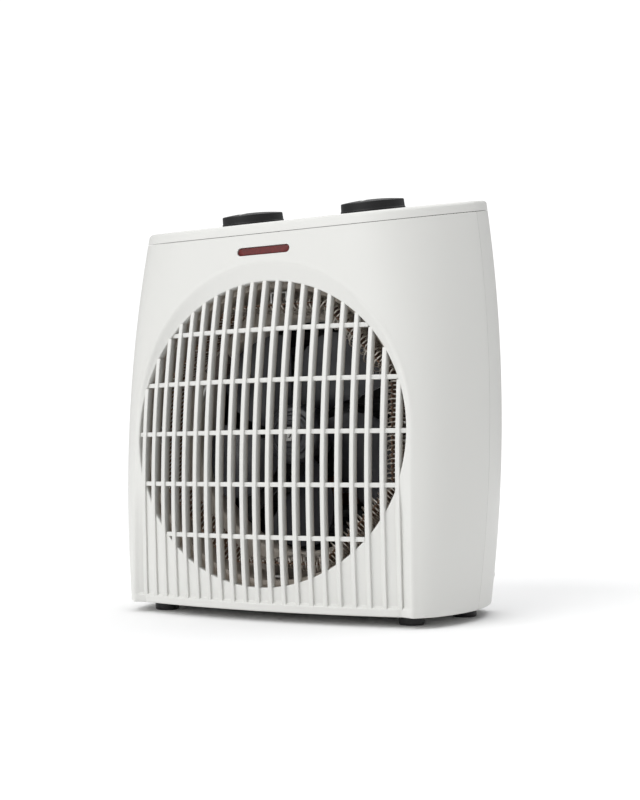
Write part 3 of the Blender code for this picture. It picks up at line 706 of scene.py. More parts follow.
@dataclass
class OuterForm:
    """The casing's outer surface.

    Every level is a rounded outline. Its front half is (x/width)^n + (depth/front)^m = 1, and its back
    half is the same with its own powers. The top is a plane that rises towards the back.
    """

    half_width: float = 125.6 * MM
    belly_z: float = 133.0 * MM
    side_curve: float = 0.537
    widest_y: float = 2.5 * MM
    front_y: float = -58.4 * MM
    front_z: float = 74.0 * MM
    front_curve: float = 0.0965
    back_y: float = 66.7 * MM
    bottom: float = 6.4 * MM
    squareness: tuple[float, float] = (11.6, 4.9)
    front_power: float = 1.3
    back_squareness: float = 12.0
    back_power: float = 1.92
    wall: float = 2.5 * MM
    top_slope: float = 0.228
    top_edge_y: float = -57.5 * MM
    top_edge_z: float = 244.4 * MM
    cover_depth: float = 6.5 * MM
    seam_y: float = 3.5 * MM
    gap: float = 0.3 * MM

    def width(self, z: Array) -> Array:
        """Half width of a level."""
        return self.half_width - self.side_curve * (z - self.belly_z) ** 2

    def front(self, z: Array) -> Array:
        """Depth of the front face at its middle."""
        return self.front_y + self.front_curve * (z - self.front_z) ** 2

    def power_across(self, z: Array) -> Array:
        """How square the front of a level is: more so near the bottom."""
        share = (z - self.bottom) / (self.top_edge_z - self.bottom)
        return self.squareness[0] + (self.squareness[1] - self.squareness[0]) * share

    def front_depth(self, x: Array, z: Array, inset: float | Array = 0.0) -> Array:
        """Depth of the front half of the casing.

        Args:
            x: Places across.
            z: Heights.
            inset: How far the outline is drawn in.

        Returns:
            The depths.
        """
        wide = self.width(z) - inset
        deep = self.widest_y - self.front(z) - inset
        share = np.clip(np.abs(x) / wide, 0.0, 1.0)
        return self.widest_y - deep * (1.0 - share ** self.power_across(z)) ** (1.0 / self.front_power)

    def back_depth(self, x: Array, z: Array, inset: float | Array = 0.0) -> Array:
        """Depth of the back half of the casing.

        Args:
            x: Places across.
            z: Heights.
            inset: How far the outline is drawn in.

        Returns:
            The depths.
        """
        wide = self.width(z) - inset
        deep = self.back_y - self.widest_y - inset
        share = np.clip(np.abs(x) / wide, 0.0, 1.0)
        return self.widest_y + deep * (1.0 - share ** self.back_squareness) ** (1.0 / self.back_power)

    def shares(self, count: int, back: bool) -> Array:
        """Places across a level, spaced evenly round its front or back.

        Args:
            count: Places wanted.
            back: Whether they go round the back.

        Returns:
            The places, as shares of the half width.
        """
        run = np.linspace(-1.0, 1.0, 4001)
        share = np.sign(run) * (1.0 - (1.0 - np.abs(run)) ** 4)
        level = np.full_like(share, self.belly_z)
        x = share * self.width(level)
        y = (self.back_depth if back else self.front_depth)(x, level)
        along = np.concatenate([[0.0], np.cumsum(np.hypot(np.diff(x), np.diff(y)))])
        return np.interp(np.linspace(0.0, along[-1], count), along, share)

    def plane(self, y: Array, drop: float = 0.0) -> Array:
        """Height of the sloping top, lowered square to itself by drop."""
        fall = drop * math.hypot(1.0, self.top_slope)
        return self.top_edge_z + self.top_slope * (y - self.top_edge_y) - fall

    def edge_inset(self, rise: Array, radius: float) -> Array:
        """How far a quarter-round edge draws in at a height above the edge, up to its radius."""
        under = np.clip(radius - rise, 0.0, radius)
        return radius - np.sqrt(np.maximum(radius ** 2 - under ** 2, 0.0))


def spaced(rows: Array, count: int, crowd: float = 1.0) -> Array:
    """Place points evenly along each row of a dense grid.

    Args:
        rows: Dense points with shape (rows, many, 3).
        count: Points wanted in each row.
        crowd: Power that draws points towards the row's start when above 1.

    Returns:
        Points with shape (rows, count, 3).
    """
    steps = np.linalg.norm(np.diff(rows, axis=1), axis=2)
    along = np.concatenate([np.zeros((len(rows), 1)), np.cumsum(steps, axis=1)], axis=1)
    share = np.linspace(0.0, 1.0, count) ** crowd
    return np.stack([np.stack([np.interp(share * length[-1], length, row[:, axis]) for axis in range(3)],
                              axis=-1) for length, row in zip(along, rows)])


# ---------------------------------------------------------------- front of the casing


@dataclass
class Front:
    """The front shell and the domed grille panel that sits in its arch."""

    form: OuterForm
    axis_z: float = AXIS_Z
    dome_front: float = -67.05 * MM
    dome_x: float = 1.48
    dome_x_low: float = 1.28
    dome_z: float = 0.869
    dome_centre_z: float = 88.5 * MM
    opening: float = 93.8 * MM
    edge_round: float = 0.9 * MM
    arch_half: float = 97.0 * MM
    arch_rise: float = 105.0 * MM
    crease: float = 3.2 * MM
    slat_pitch: float = 8.9 * MM
    slats_each_side: int = 10
    slat_width: float = 2.8 * MM
    slat_depth: float = 6.0 * MM
    slat_recess: float = 0.35 * MM
    bar_pitch: float = 31.7 * MM
    bars_each_side: int = 2
    bar_height: float = 2.8 * MM
    bar_depth: float = 3.4 * MM
    bar_recess: float = 1.8 * MM
    groove: float = 1.7 * MM
    valley: float = 1.7 * MM
    valley_fade: tuple[float, float] = (62.0 * MM, 90.0 * MM)
    recess_fade: tuple[float, float] = (80.0 * MM, 110.0 * MM)
    flat_below: float = 50.0 * MM
    rim_top: float = 11.2 * MM
    rim_ramp: tuple[float, float] = (0.4 * MM, 1.6 * MM)
    ridge_start: float = 0.6 * MM
    thinnest: float = 0.6 * MM
    floor_inset: float = 1.6 * MM
    nose: float = 0.7 * MM
    plate: float = 2.2 * MM
    collar_back: float = -45.2 * MM
    half_turn_steps: int = 96
    bottom_round: float = 1.0 * MM
    lens_slot: tuple[float, float, float] = (18.6 * MM, 2.6 * MM, 227.4 * MM)

    def dome(self, x: Array, z: Array) -> Array:
        """Depth of the slats' fronts: a shallow dome, a little flatter across near the bottom.

        Args:
            x: Places across.
            z: Heights.

        Returns:
            The depths.
        """
        low = 1.0 - smooth_step(self.form.bottom, self.flat_below, z)
        across = self.dome_x + (self.dome_x_low - self.dome_x) * low
        return self.dome_front + across * x * x + self.dome_z * (z - self.dome_centre_z) ** 2

    def inner_edge(self, z: Array) -> Array:
        """Half width at which the side strips start: the last ridge, or the opening where it is wider.

        Args:
            z: Heights.

        Returns:
            The half widths.
        """
        last = self.slats_each_side * self.slat_pitch + self.slat_width / 2
        ring = self.opening + self.edge_round
        return np.maximum(last, np.sqrt(np.maximum(ring ** 2 - (z - self.axis_z) ** 2, 0.0)))

    def strip_level(self, x: Array, z: Array) -> Array:
        """Depth of the side strips: a soft rise from the last ridge's foot to the shell's crest.

        Args:
            x: Places across.
            z: Heights.

        Returns:
            The depths.
        """
        start = self.inner_edge(z)
        sunk = self.valley * (1.0 - smooth_step(*self.valley_fade, z)) * self.above_rim(z)
        foot = self.dome(start, z) + self.slat_recess * (1.0 - smooth_step(*self.recess_fade, z)) + sunk
        share = (np.abs(x) - start) / (self.arch_half - start)
        crest = self.form.front_depth(self.arch_half, z)
        return foot + (crest - foot) * share

    def above_rim(self, z: Array) -> Array:
        """Return 0 on the plain rim at the bottom and 1 above it."""
        return smooth_step(self.rim_top - self.rim_ramp[0], self.rim_top + self.rim_ramp[1], z)

    def plate_level(self, x: Array, z: Array) -> Array:
        """Depth of the lower plate: sunk between the ridges, with the side strips outside them.

        Args:
            x: Places across.
            z: Heights.

        Returns:
            The depths.
        """
        inner = self.dome(x, z) + self.slat_recess + self.groove * self.above_rim(z)
        last = self.slats_each_side * self.slat_pitch
        outer = self.strip_level(x, z)
        share = smooth_step(last - 0.8 * MM, last + 0.8 * MM, np.abs(x))
        return self.eased(x, z, inner + (outer - inner) * share)

    def band_level(self, turn: Array, share: Array) -> tuple[Array, Array, Array]:
        """Points of the upper band, a shallow dish that rises from the opening's edge to the arch.

        Args:
            turn: Angle from the right-hand side.
            share: 0 at the opening and 1 at the arch.

        Returns:
            The x, y and z of the points.
        """
        ring = self.opening + self.edge_round
        near_x, near_z = ring * np.cos(turn), self.axis_z + ring * np.sin(turn)
        far_x, far_z = self.arch_half * np.cos(turn), self.axis_z + self.arch_rise * np.sin(turn)
        x, z = near_x + (far_x - near_x) * share, near_z + (far_z - near_z) * share
        near_y, far_y = self.dome(near_x, near_z), self.form.front_depth(far_x, far_z)
        return x, self.eased(x, z, near_y + (far_y - near_y) * share), z

    def arch_distance(self, x: Array, z: Array) -> Array:
        """Distance outside the arch's outline, along the line from its centre.

        Args:
            x: Places across.
            z: Heights.

        Returns:
            The distances, negative inside.
        """
        high = np.maximum(z - self.axis_z, 0.0)
        share = np.sqrt((x / self.arch_half) ** 2 + (high / self.arch_rise) ** 2)
        reach = np.hypot(x, high)
        return np.where(share > 1e-4, reach - reach / np.maximum(share, 1e-4), -self.arch_half)

    def eased(self, x: Array, z: Array, dish: Array) -> Array:
        """Blend the dish into the shell across the crease at the arch."""
        share = smooth_step(-self.crease, self.crease, self.arch_distance(x, z))
        return dish + (self.form.front_depth(x, z) - dish) * share

    def shell_level(self, x: Array, y: Array, z: Array) -> Array:
        """Depth of the shell's own points, eased down just outside the arch.

        Args:
            x: Places across.
            y: Depths before easing.
            z: Heights.

        Returns:
            The eased depths.
        """
        distance = self.arch_distance(x, z)
        turn = np.arctan2(np.maximum(z - self.axis_z, 0.0) / self.arch_rise, np.abs(x) / self.arch_half)
        reach = np.hypot(self.arch_half * np.cos(turn), self.arch_rise * np.sin(turn))
        ring = self.opening + self.edge_round
        share = 1.0 + distance / np.maximum(reach - ring, 1e-6)
        near = self.dome(ring * np.cos(turn), self.axis_z + ring * np.sin(turn))
        far = self.form.front_depth(self.arch_half * np.cos(turn), self.axis_z + self.arch_rise * np.sin(turn))
        dish = np.where(z > self.axis_z, near + (far - near) * share, self.strip_level(x, z))
        blend = smooth_step(-self.crease, self.crease, distance)
        return np.where(distance < self.crease, dish + (y - dish) * blend, y)

    def rows(self) -> tuple[Array, Array]:
        """Places of the rows beside the arch.

        Returns:
            The rows' heights, and the arch's half width at each.
        """
        low = self.form.bottom + self.bottom_round * (1.0 - np.cos(arc(0, 90, 5)))
        middle = np.linspace(low[-1], self.axis_z, 60)[1:]
        turn = np.linspace(0.0, math.pi / 2, self.half_turn_steps + 1)[1:]
        heights = np.concatenate([low, middle, self.axis_z + self.arch_rise * np.sin(turn)])
        halves = np.concatenate([np.full(len(low) + len(middle), self.arch_half),
                                 self.arch_half * np.cos(turn)])
        return heights, halves

    def skin(self, inset: float) -> Array:
        """Grid of the right half of the shell, from the side seam round to the arch or the middle.

        The rows beside the arch lie level. Above it they spread out up to the sloping seam under the
        cover. The bottom edge is a quarter round.

        Args:
            inset: How far the whole surface is drawn in.

        Returns:
            Points with shape (rows, columns, 3).
        """
        form = self.form
        heights, halves = self.rows()
        round_off = form.edge_inset(heights - form.bottom, self.bottom_round)[:, None]
        share = 1.0 - (1.0 - np.linspace(0.0, 1.0, 500)) ** 4
        wide = (form.width(heights)[:, None] - round_off - inset)
        x = halves[:, None] + (wide - halves[:, None]) * share[None]
        z = np.broadcast_to(heights[:, None], x.shape)
        y = form.front_depth(x, z, inset + round_off)
        lower = stack(x, y, z)[:, ::-1]
        top_steps = np.linspace(0.0, 1.0, 13)[1:, None, None]
        last = lower[-1]
        top = last.copy()
        for _ in range(3):
            top[:, 2] = form.plane(top[:, 1], form.cover_depth + form.gap / 2)
            wide_top = form.width(top[:, 2]) - inset
            top[:, 0] = last[:, 0] / wide[-1] * wide_top
            top[:, 1] = form.front_depth(top[:, 0], top[:, 2], inset)
        z_mid = last[None, :, 2] + (top[None, :, 2] - last[None, :, 2]) * top_steps[..., 0]
        x_mid = last[None, :, 0] / wide[-1] * (form.width(z_mid) - inset)
        upper = stack(x_mid, form.front_depth(x_mid, z_mid, inset), z_mid)
        grid = spaced(np.concatenate([lower, upper]), 90)
        seam = grid[:, :1].copy()
        seam[..., 1] = form.seam_y - form.gap / 2
        return np.concatenate([seam, grid], axis=1)

    def make_shell(self) -> None:
        """Make the front shell with the slot for the lens."""
        outer, inner = self.skin(0.0), self.skin(self.form.wall)
        beyond_seam = np.arange(outer.shape[1]) > 0
        outer[..., 1] = np.where(beyond_seam, self.shell_level(*np.moveaxis(outer, -1, 0)), outer[..., 1])
        inner[..., 2] = np.maximum(inner[..., 2], self.form.bottom)
        inner[..., 1] = np.maximum(inner[..., 1], outer[..., 1] + np.where(beyond_seam, self.thinnest, 0.0))
        right = Surface.from_grid(outer)
        both = Surface.joined([right, right.mirrored()])
        partners = np.concatenate([inner.reshape(-1, 3), inner.reshape(-1, 3) * FLIP])
        shell = make_piece("front_shell_skin", both.thickened(partners), WHITE, Body.HOUSING, ["front_shell"])
        lens = self.lens_slot
        cut_from(shell, carried(stack(0.0, np.array([-75.0, -40.0]) * MM, lens[2]),
                                stadium(lens[0], lens[1]), ACROSS, UP))

    def make_floor(self) -> None:
        """Close the shell underneath with a flat floor, a little above its bottom edge."""
        form = self.form
        x = form.shares(81, back=False)[1:-1] * (form.width(form.bottom) - self.floor_inset)
        z = np.full_like(x, form.bottom)
        front = form.front_depth(x, z, self.floor_inset)
        panel = self.plate_level(x, z) + self.plate * 0.7
        front = np.where(np.abs(x) < self.arch_half + 1.0 * MM, panel, front)
        make_piece("front_floor", slab(x, front, form.seam_y - form.gap / 2, form.bottom + form.gap,
                                       form.bottom + form.wall), WHITE, Body.HOUSING)

    def make_panel(self) -> None:
        """Make the grille panel: band, lower plate, collar, slats and bars."""
        parts = [self.plate_surface(), *self.slats(), *self.bars()]
        # Its finish paints shade on the slats' sides deep behind the dome.
        make_piece("grille_panel_moulding", Surface.joined(parts), GRILLE_WHITE, Body.HOUSING,
                   ["grille_panel"])

    def plate_surface(self) -> Surface:
        """Front sheet of the panel with the collar round the opening, closed into a wall.

        Returns:
            The closed wall.
        """
        steps = self.half_turn_steps
        ring = self.opening + self.edge_round
        turn = np.linspace(0.0, math.pi, 2 * steps + 1)[:, None]
        band = stack(*self.band_level(turn, np.linspace(0.0, 1.0, 9)[None]))

        round_turn = np.linspace(-math.pi / 2, math.pi / 2, 2 * steps + 1)
        x = ring * np.sin(round_turn)
        top = self.axis_z - ring * np.cos(round_turn)
        low = self.form.bottom + self.bottom_round * (1.0 - np.cos(arc(0, 90, 4)))
        step_up = np.linspace(self.rim_top - self.ridge_start, self.rim_top + 1.8 * MM, 11)
        fixed = np.concatenate([low, np.linspace(low[-1], step_up[0], 5)[1:-1], step_up])
        rise = np.linspace(0.0, 1.0, 41)[1:]
        lower_z = np.concatenate([np.repeat(fixed[:, None], len(x), axis=1),
                                  fixed[-1] + (top - fixed[-1]) * rise[:, None]])
        plate = stack(x[None], self.plate_level(x[None], lower_z), lower_z)
        plate[..., 1] += self.form.edge_inset(plate[..., 2] - self.form.bottom, self.bottom_round)

        outside = np.linspace(ring, self.arch_half, 6)
        side_z = np.concatenate([fixed, fixed[-1] + (self.axis_z - fixed[-1]) * rise])[:, None]
        strip = stack(outside[None], self.plate_level(outside[None], side_z), side_z)
        strip[..., 1] += self.form.edge_inset(strip[..., 2] - self.form.bottom, self.bottom_round)
        sides = [Surface.from_grid(strip), Surface.from_grid(strip).mirrored()]

        around = np.linspace(0.0, TAU, 4 * steps, endpoint=False)[:, None]
        edge_x, edge_z = ring * np.cos(around), self.axis_z + ring * np.sin(around)
        flat = np.where(np.sin(around) >= -1e-9, self.band_level(around, 0.0)[1],
                        self.plate_level(edge_x, edge_z))
        swing = arc(0, 90, 4)[None]
        radius = ring - self.edge_round * np.sin(swing)
        depth = flat + self.edge_round * (1.0 - np.cos(swing))
        radius = np.hstack([radius, [[self.opening]]])
        depth = np.hstack([depth, np.full((len(around), 1), self.collar_back)])
        radius, depth = np.broadcast_arrays(radius, depth)
        collar = stack(radius * np.cos(around), depth, self.axis_z + radius * np.sin(around))
        front = Surface.joined([Surface.from_grid(band), Surface.from_grid(plate), *sides,
                                Surface.from_grid(collar, wrap_rows=True)])
        return front.thickened(self.behind(front.points))

    def behind(self, points: Array) -> Array:
        """Partner points: straight behind the plate, and outside the collar.

        Args:
            points: The front sheet's points.

        Returns:
            One partner for each point.
        """
        x, z = points[:, 0], points[:, 2] - self.axis_z
        reach = np.maximum(np.hypot(x, z), 1e-9)
        outer = np.maximum(reach, self.opening + self.plate)
        at_back = points[:, 1] > self.collar_back - 0.1 * MM
        made = points.copy()
        made[:, 0], made[:, 2] = x * outer / reach, self.axis_z + z * outer / reach
        made[:, 1] = np.where(at_back, points[:, 1], points[:, 1] + self.plate)
        return made

    def slat_section(self) -> Array:
        """Outline of a slat: a softly rounded nose, then a slight taper towards its back.

        Returns:
            The outline's points, with shape (count, 2).
        """
        half, nose = self.slat_width / 2, self.nose
        return rounded([(-half * 0.92, 0.0, nose * 0.5), (half * 0.92, 0.0, nose * 0.5),
                        (half, nose, nose * 0.7), (half * 0.8, self.slat_depth, 0.4 * MM),
                        (-half * 0.8, self.slat_depth, 0.4 * MM), (-half, nose, nose * 0.7)], 4, True)

    def slats(self) -> list[Surface]:
        """Upright slats with round noses, which run on over the lower plate as ridges.

        Returns:
            One closed surface for each slat.
        """
        made = []
        section = self.slat_section()
        reach = self.opening + self.edge_round + 0.5 * MM
        low = self.rim_top - self.ridge_start
        for index in range(-self.slats_each_side, self.slats_each_side + 1):
            x = index * self.slat_pitch
            top = self.axis_z + math.sqrt(reach ** 2 - (abs(x) + self.slat_width / 2) ** 2)
            z = np.linspace(low, top, 90)
            dip = 0.25 * MM * (1.0 - smooth_step(low, low + 1.5 * MM, z))
            path = stack(np.full_like(z, x), self.dome(x, z) + self.slat_recess + dip, z)
            made.append(carried(path, section, ACROSS, DEPTH))
        return made

    def bars(self) -> list[Surface]:
        """Level bars a little behind the slats' fronts.

        Returns:
            One closed surface for each bar.
        """
        made = []
        section = bar_section(self.bar_height, self.bar_depth, 0.35 * MM)
        reach = self.opening + 1.0 * MM
        for index in range(-self.bars_each_side, self.bars_each_side + 1):
            z = self.axis_z + index * self.bar_pitch
            side = math.sqrt(reach ** 2 - (abs(z - self.axis_z) + self.bar_height / 2) ** 2)
            x = np.linspace(-side, side, 80)
            path = stack(x, self.dome(x, np.full_like(x, z)) + self.bar_recess, np.full_like(x, z))
            made.append(carried(path, section, UP, DEPTH))
        return made


# ---------------------------------------------------------------- rear shell and cover


@dataclass
class RearShell:
    """The back half of the casing, with its air slots, screw wells and cord inlet."""

    form: OuterForm
    bottom_round: float = 1.0 * MM
    axis_z: float = AXIS_Z
    intake_radius: float = 82.0 * MM
    intake_pitch: float = 10.5 * MM
    intake_height: float = 4.4 * MM
    intake_gap: float = 2.5 * MM
    wells: tuple[tuple[float, float], ...] = ((105.0 * MM, 24.0 * MM), (88.0 * MM, 224.0 * MM))
    well_radius: float = 3.3 * MM
    well_wall: float = 1.2 * MM
    well_start: float = 9.6 * MM
    inlet: tuple[float, float] = (94.0 * MM, 32.0 * MM)
    inlet_seat: float = 64.9 * MM
    inlet_bore: float = 5.3 * MM
    inlet_recess: float = 8.6 * MM
    floor_inset: float = 1.6 * MM

    def skin(self, inset: float) -> Array:
        """Grid round the back from seam to seam and up to the sloping seam under the cover.

        Args:
            inset: How far the whole surface is drawn in.

        Returns:
            Points with shape (rows, columns, 3).
        """
        form = self.form
        share = form.shares(161, back=True)[None]
        z = np.full_like(share, form.top_edge_z)
        for _ in range(4):
            y = form.back_depth(share * form.width(z), z)
            z = form.plane(y, form.cover_depth + form.gap / 2)
        low = form.bottom + self.bottom_round * (1.0 - np.cos(arc(0, 90, 5)))[:, None]
        rise = np.linspace(0.0, 1.0, 64)[1:, None]
        levels = np.concatenate([low + 0.0 * z, low[-1] + (z - low[-1]) * rise])
        drawn = inset + form.edge_inset(levels - form.bottom, self.bottom_round)
        x = share * (form.width(levels) - drawn)
        y = np.maximum(form.back_depth(x, levels, drawn), form.seam_y + form.gap / 2)
        return stack(x, y, levels)

    def make(self) -> None:
        """Make the shell with its openings cut, its floor, and a tube round each screw well."""
        form = self.form
        shell = make_piece("rear_shell_skin",
                           Surface.from_grid(self.skin(0.0)).thickened(self.skin(form.wall).reshape(-1, 3)),
                           WHITE, Body.HOUSING, ["rear_shell"])
        cut_from(shell, Surface.joined([*self.slot_cutters(), *self.round_cutters()]))
        # Painted shade: the faces on the inner side of the wall get the near-black shaded finish.
        centres = np.empty(len(shell.data.polygons) * 3)
        shell.data.polygons.foreach_get("center", centres)
        x, y, z = centres.reshape(-1, 3).T
        inside = (y < form.back_depth(x, z, 1.3 * MM)) & (y > form.seam_y + 1.0 * MM)
        shell.data.materials.append(SHADED.material())
        shell.data.polygons.foreach_set("material_index", inside.astype(np.int32))
        # The vanes are real strips; their black is painted shade that keeps the inside dark behind the slots.
        make_piece("rear_louvre_vanes", Surface.joined(self.vanes()), BLACK, Body.HOUSING)
        x = form.shares(81, back=True)[1:-1] * (form.width(form.bottom) - self.floor_inset)
        back = form.back_depth(x, np.full_like(x, form.bottom), self.floor_inset)
        make_piece("rear_floor", slab(x, form.seam_y + form.gap / 2, np.maximum(back, form.seam_y + MM),
                                      form.bottom + form.gap, form.bottom + form.wall), WHITE, Body.HOUSING)
        tubes = []
        for side in (-1, 1):
            for across, up in self.wells:
                end = float(form.back_depth(np.array(across), np.array(up))) - 1.0 * MM
                inner, outer = self.well_radius, self.well_radius + self.well_wall
                profile = np.array([(inner, self.well_start), (outer, self.well_start), (outer, end),
                                    (inner, end)])
                tubes.append(turned(profile, 32, closed=True).moved(along_depth(side * across, up)))
        make_piece("screw_wells", Surface.joined(tubes), WHITE, Body.HOUSING)

    def slot_cutters(self) -> list[Surface]:
        """Level slots in two columns inside a circle round the fan's axis, with round ends.

        Returns:
            One closed surface for each slot.
        """
        made = []
        count = int(self.intake_radius / self.intake_pitch)
        for index in range(-count, count + 1):
            rise = index * self.intake_pitch
            reach = math.sqrt(self.intake_radius ** 2 - rise ** 2)
            half = (reach - self.intake_gap) / 2
            for side in (-1, 1):
                path = stack(side * (self.intake_gap + half), np.array([50.0, 80.0]) * MM, self.axis_z + rise)
                made.append(carried(path, stadium(half, self.intake_height / 2, 8), ACROSS,
                                    UP))
        return made

    def vanes(self) -> list[Surface]:
        """Slanted strips behind the slots, each falling towards the back.

        Returns:
            One closed surface for each strip.
        """
        section = np.array([(56.0, 2.0), (56.0, 3.2), (63.4, -2.2), (63.4, -3.4)]) * MM
        count = int(self.intake_radius / self.intake_pitch)
        made = []
        for rise in self.intake_pitch * np.arange(-count, count + 1):
            reach = math.sqrt(self.intake_radius ** 2 - rise ** 2) + 3.0 * MM
            path = stack(np.array([-reach, reach]), 0.0, self.axis_z + rise)
            made.append(carried(path, section, DEPTH, UP))
        return made

    def round_cutters(self) -> list[Surface]:
        """Round holes for the screws, and the stepped hole of the cord inlet.

        Returns:
            One closed surface for each hole.
        """
        holes = [(side * x, z, [(0.0, 55 * MM), (self.well_radius, 55 * MM), (self.well_radius, 80 * MM),
                                (0.0, 80 * MM)]) for side in (-1, 1) for x, z in self.wells]
        bore, recess = self.inlet_bore, self.inlet_recess
        holes.append((*self.inlet, [(0.0, 50 * MM), (bore, 50 * MM), (bore, self.inlet_seat),
                                    (recess, self.inlet_seat), (recess, 80 * MM), (0.0, 80 * MM)]))
        return [turned(np.array(profile), 40).moved(along_depth(x, z)) for x, z, profile in holes]


def along_depth(x: float, z: float) -> Callable[[Array], Array]:
    """Stand a turned surface's axis along +Y.

    Args:
        x: Place of the axis across.
        z: Its height.

    Returns:
        The function that places the points.
    """
    def place(points: Array) -> Array:
        """Turn a quarter about X, then shift."""
        return stack(points[:, 0] + x, points[:, 2], z - points[:, 1])
    return place


@dataclass
class TopCover:
    """The sloping lid: rounded along its upper edge, hollow below."""

    form: OuterForm
    edge: float = 2.2 * MM
    middle_y: float = 4.0 * MM
    hole_radius: float = 4.0 * MM
    knob_x: float = KNOB_X
    knob_y: float = KNOB_Y

    def ring(self, drop: float, inset: float) -> Array:
        """Outline at a drop below the top, found by stepping to where the form meets that plane.

        Args:
            drop: How far below the top the outline lies.
            inset: How far it is drawn in.

        Returns:
            Points with shape (count, 3).
        """
        form = self.form
        front, back = form.shares(121, back=False), form.shares(121, back=True)[::-1]
        share = np.concatenate([front[:-1], back[:-1]])
        behind = np.arange(len(share)) >= len(front) - 1
        y = np.zeros_like(share)
        for _ in range(5):
            z = form.plane(y, drop)
            x = share * (form.width(z) - inset)
            y = np.where(behind, form.back_depth(x, z, inset), form.front_depth(x, z, inset))
        return stack(x, y, form.plane(y, drop))

    def inward(self, ring: Array, drop: float) -> Array:
        """Rows from an outline to the lid's middle.

        Args:
            ring: The outline.
            drop: How far below the top the rows lie.

        Returns:
            Points with shape (rows, count, 3).
        """
        share = np.array([0.985, 0.96, 0.9, 0.75, 0.5, 0.25, 0.0])[:, None]
        x, y = ring[None, :, 0] * share, self.middle_y + (ring[None, :, 1] - self.middle_y) * share
        return stack(x, y, self.form.plane(y, drop))

    def make(self) -> None:
        """Make the lid and cut the two spindle holes."""
        form, under = self.form, self.form.cover_depth - self.form.gap / 2
        swing = arc(0, 90, 6)
        side = [self.ring(under, 0.0)] + [self.ring(self.edge * (1 - math.sin(turn)),
                                                    self.edge * (1 - math.cos(turn))) for turn in swing]
        inner = [self.ring(form.wall, form.wall), self.ring(under, form.wall)]
        rows = [self.inward(inner[0], form.wall)[::-1], np.array(inner), np.array(side),
                self.inward(side[-1], 0.0)]
        lid = make_piece("top_lid", Surface.from_grid(np.concatenate(rows), wrap_columns=True), WHITE,
                         Body.HOUSING, ["top_cover"])
        rod = np.array([(0.0, -10 * MM), (self.hole_radius, -10 * MM), (self.hole_radius, 10 * MM),
                        (0.0, 10 * MM)])
        cut_from(lid, Surface.joined([turned(rod, 40).moved(on_cover(form, side * self.knob_x, self.knob_y))
                                      for side in (-1, 1)]))


def on_cover(form: OuterForm, x: float, y: float) -> Callable[[Array], Array]:
    """Stand a turned surface square on the sloping top.

    Args:
        form: The casing's form.
        x: Place across.
        y: Depth.

    Returns:
        The function that places the points.
    """
    angle = math.atan(form.top_slope)
    height = form.plane(y)

    def place(points: Array) -> Array:
        """Lean back about X, then shift."""
        along, up = points[:, 1], points[:, 2]
        return stack(points[:, 0] + x, along * math.cos(angle) - up * math.sin(angle) + y,
                     along * math.sin(angle) + up * math.cos(angle) + height)
    return place


# ---------------------------------------------------------------- controls and lamp


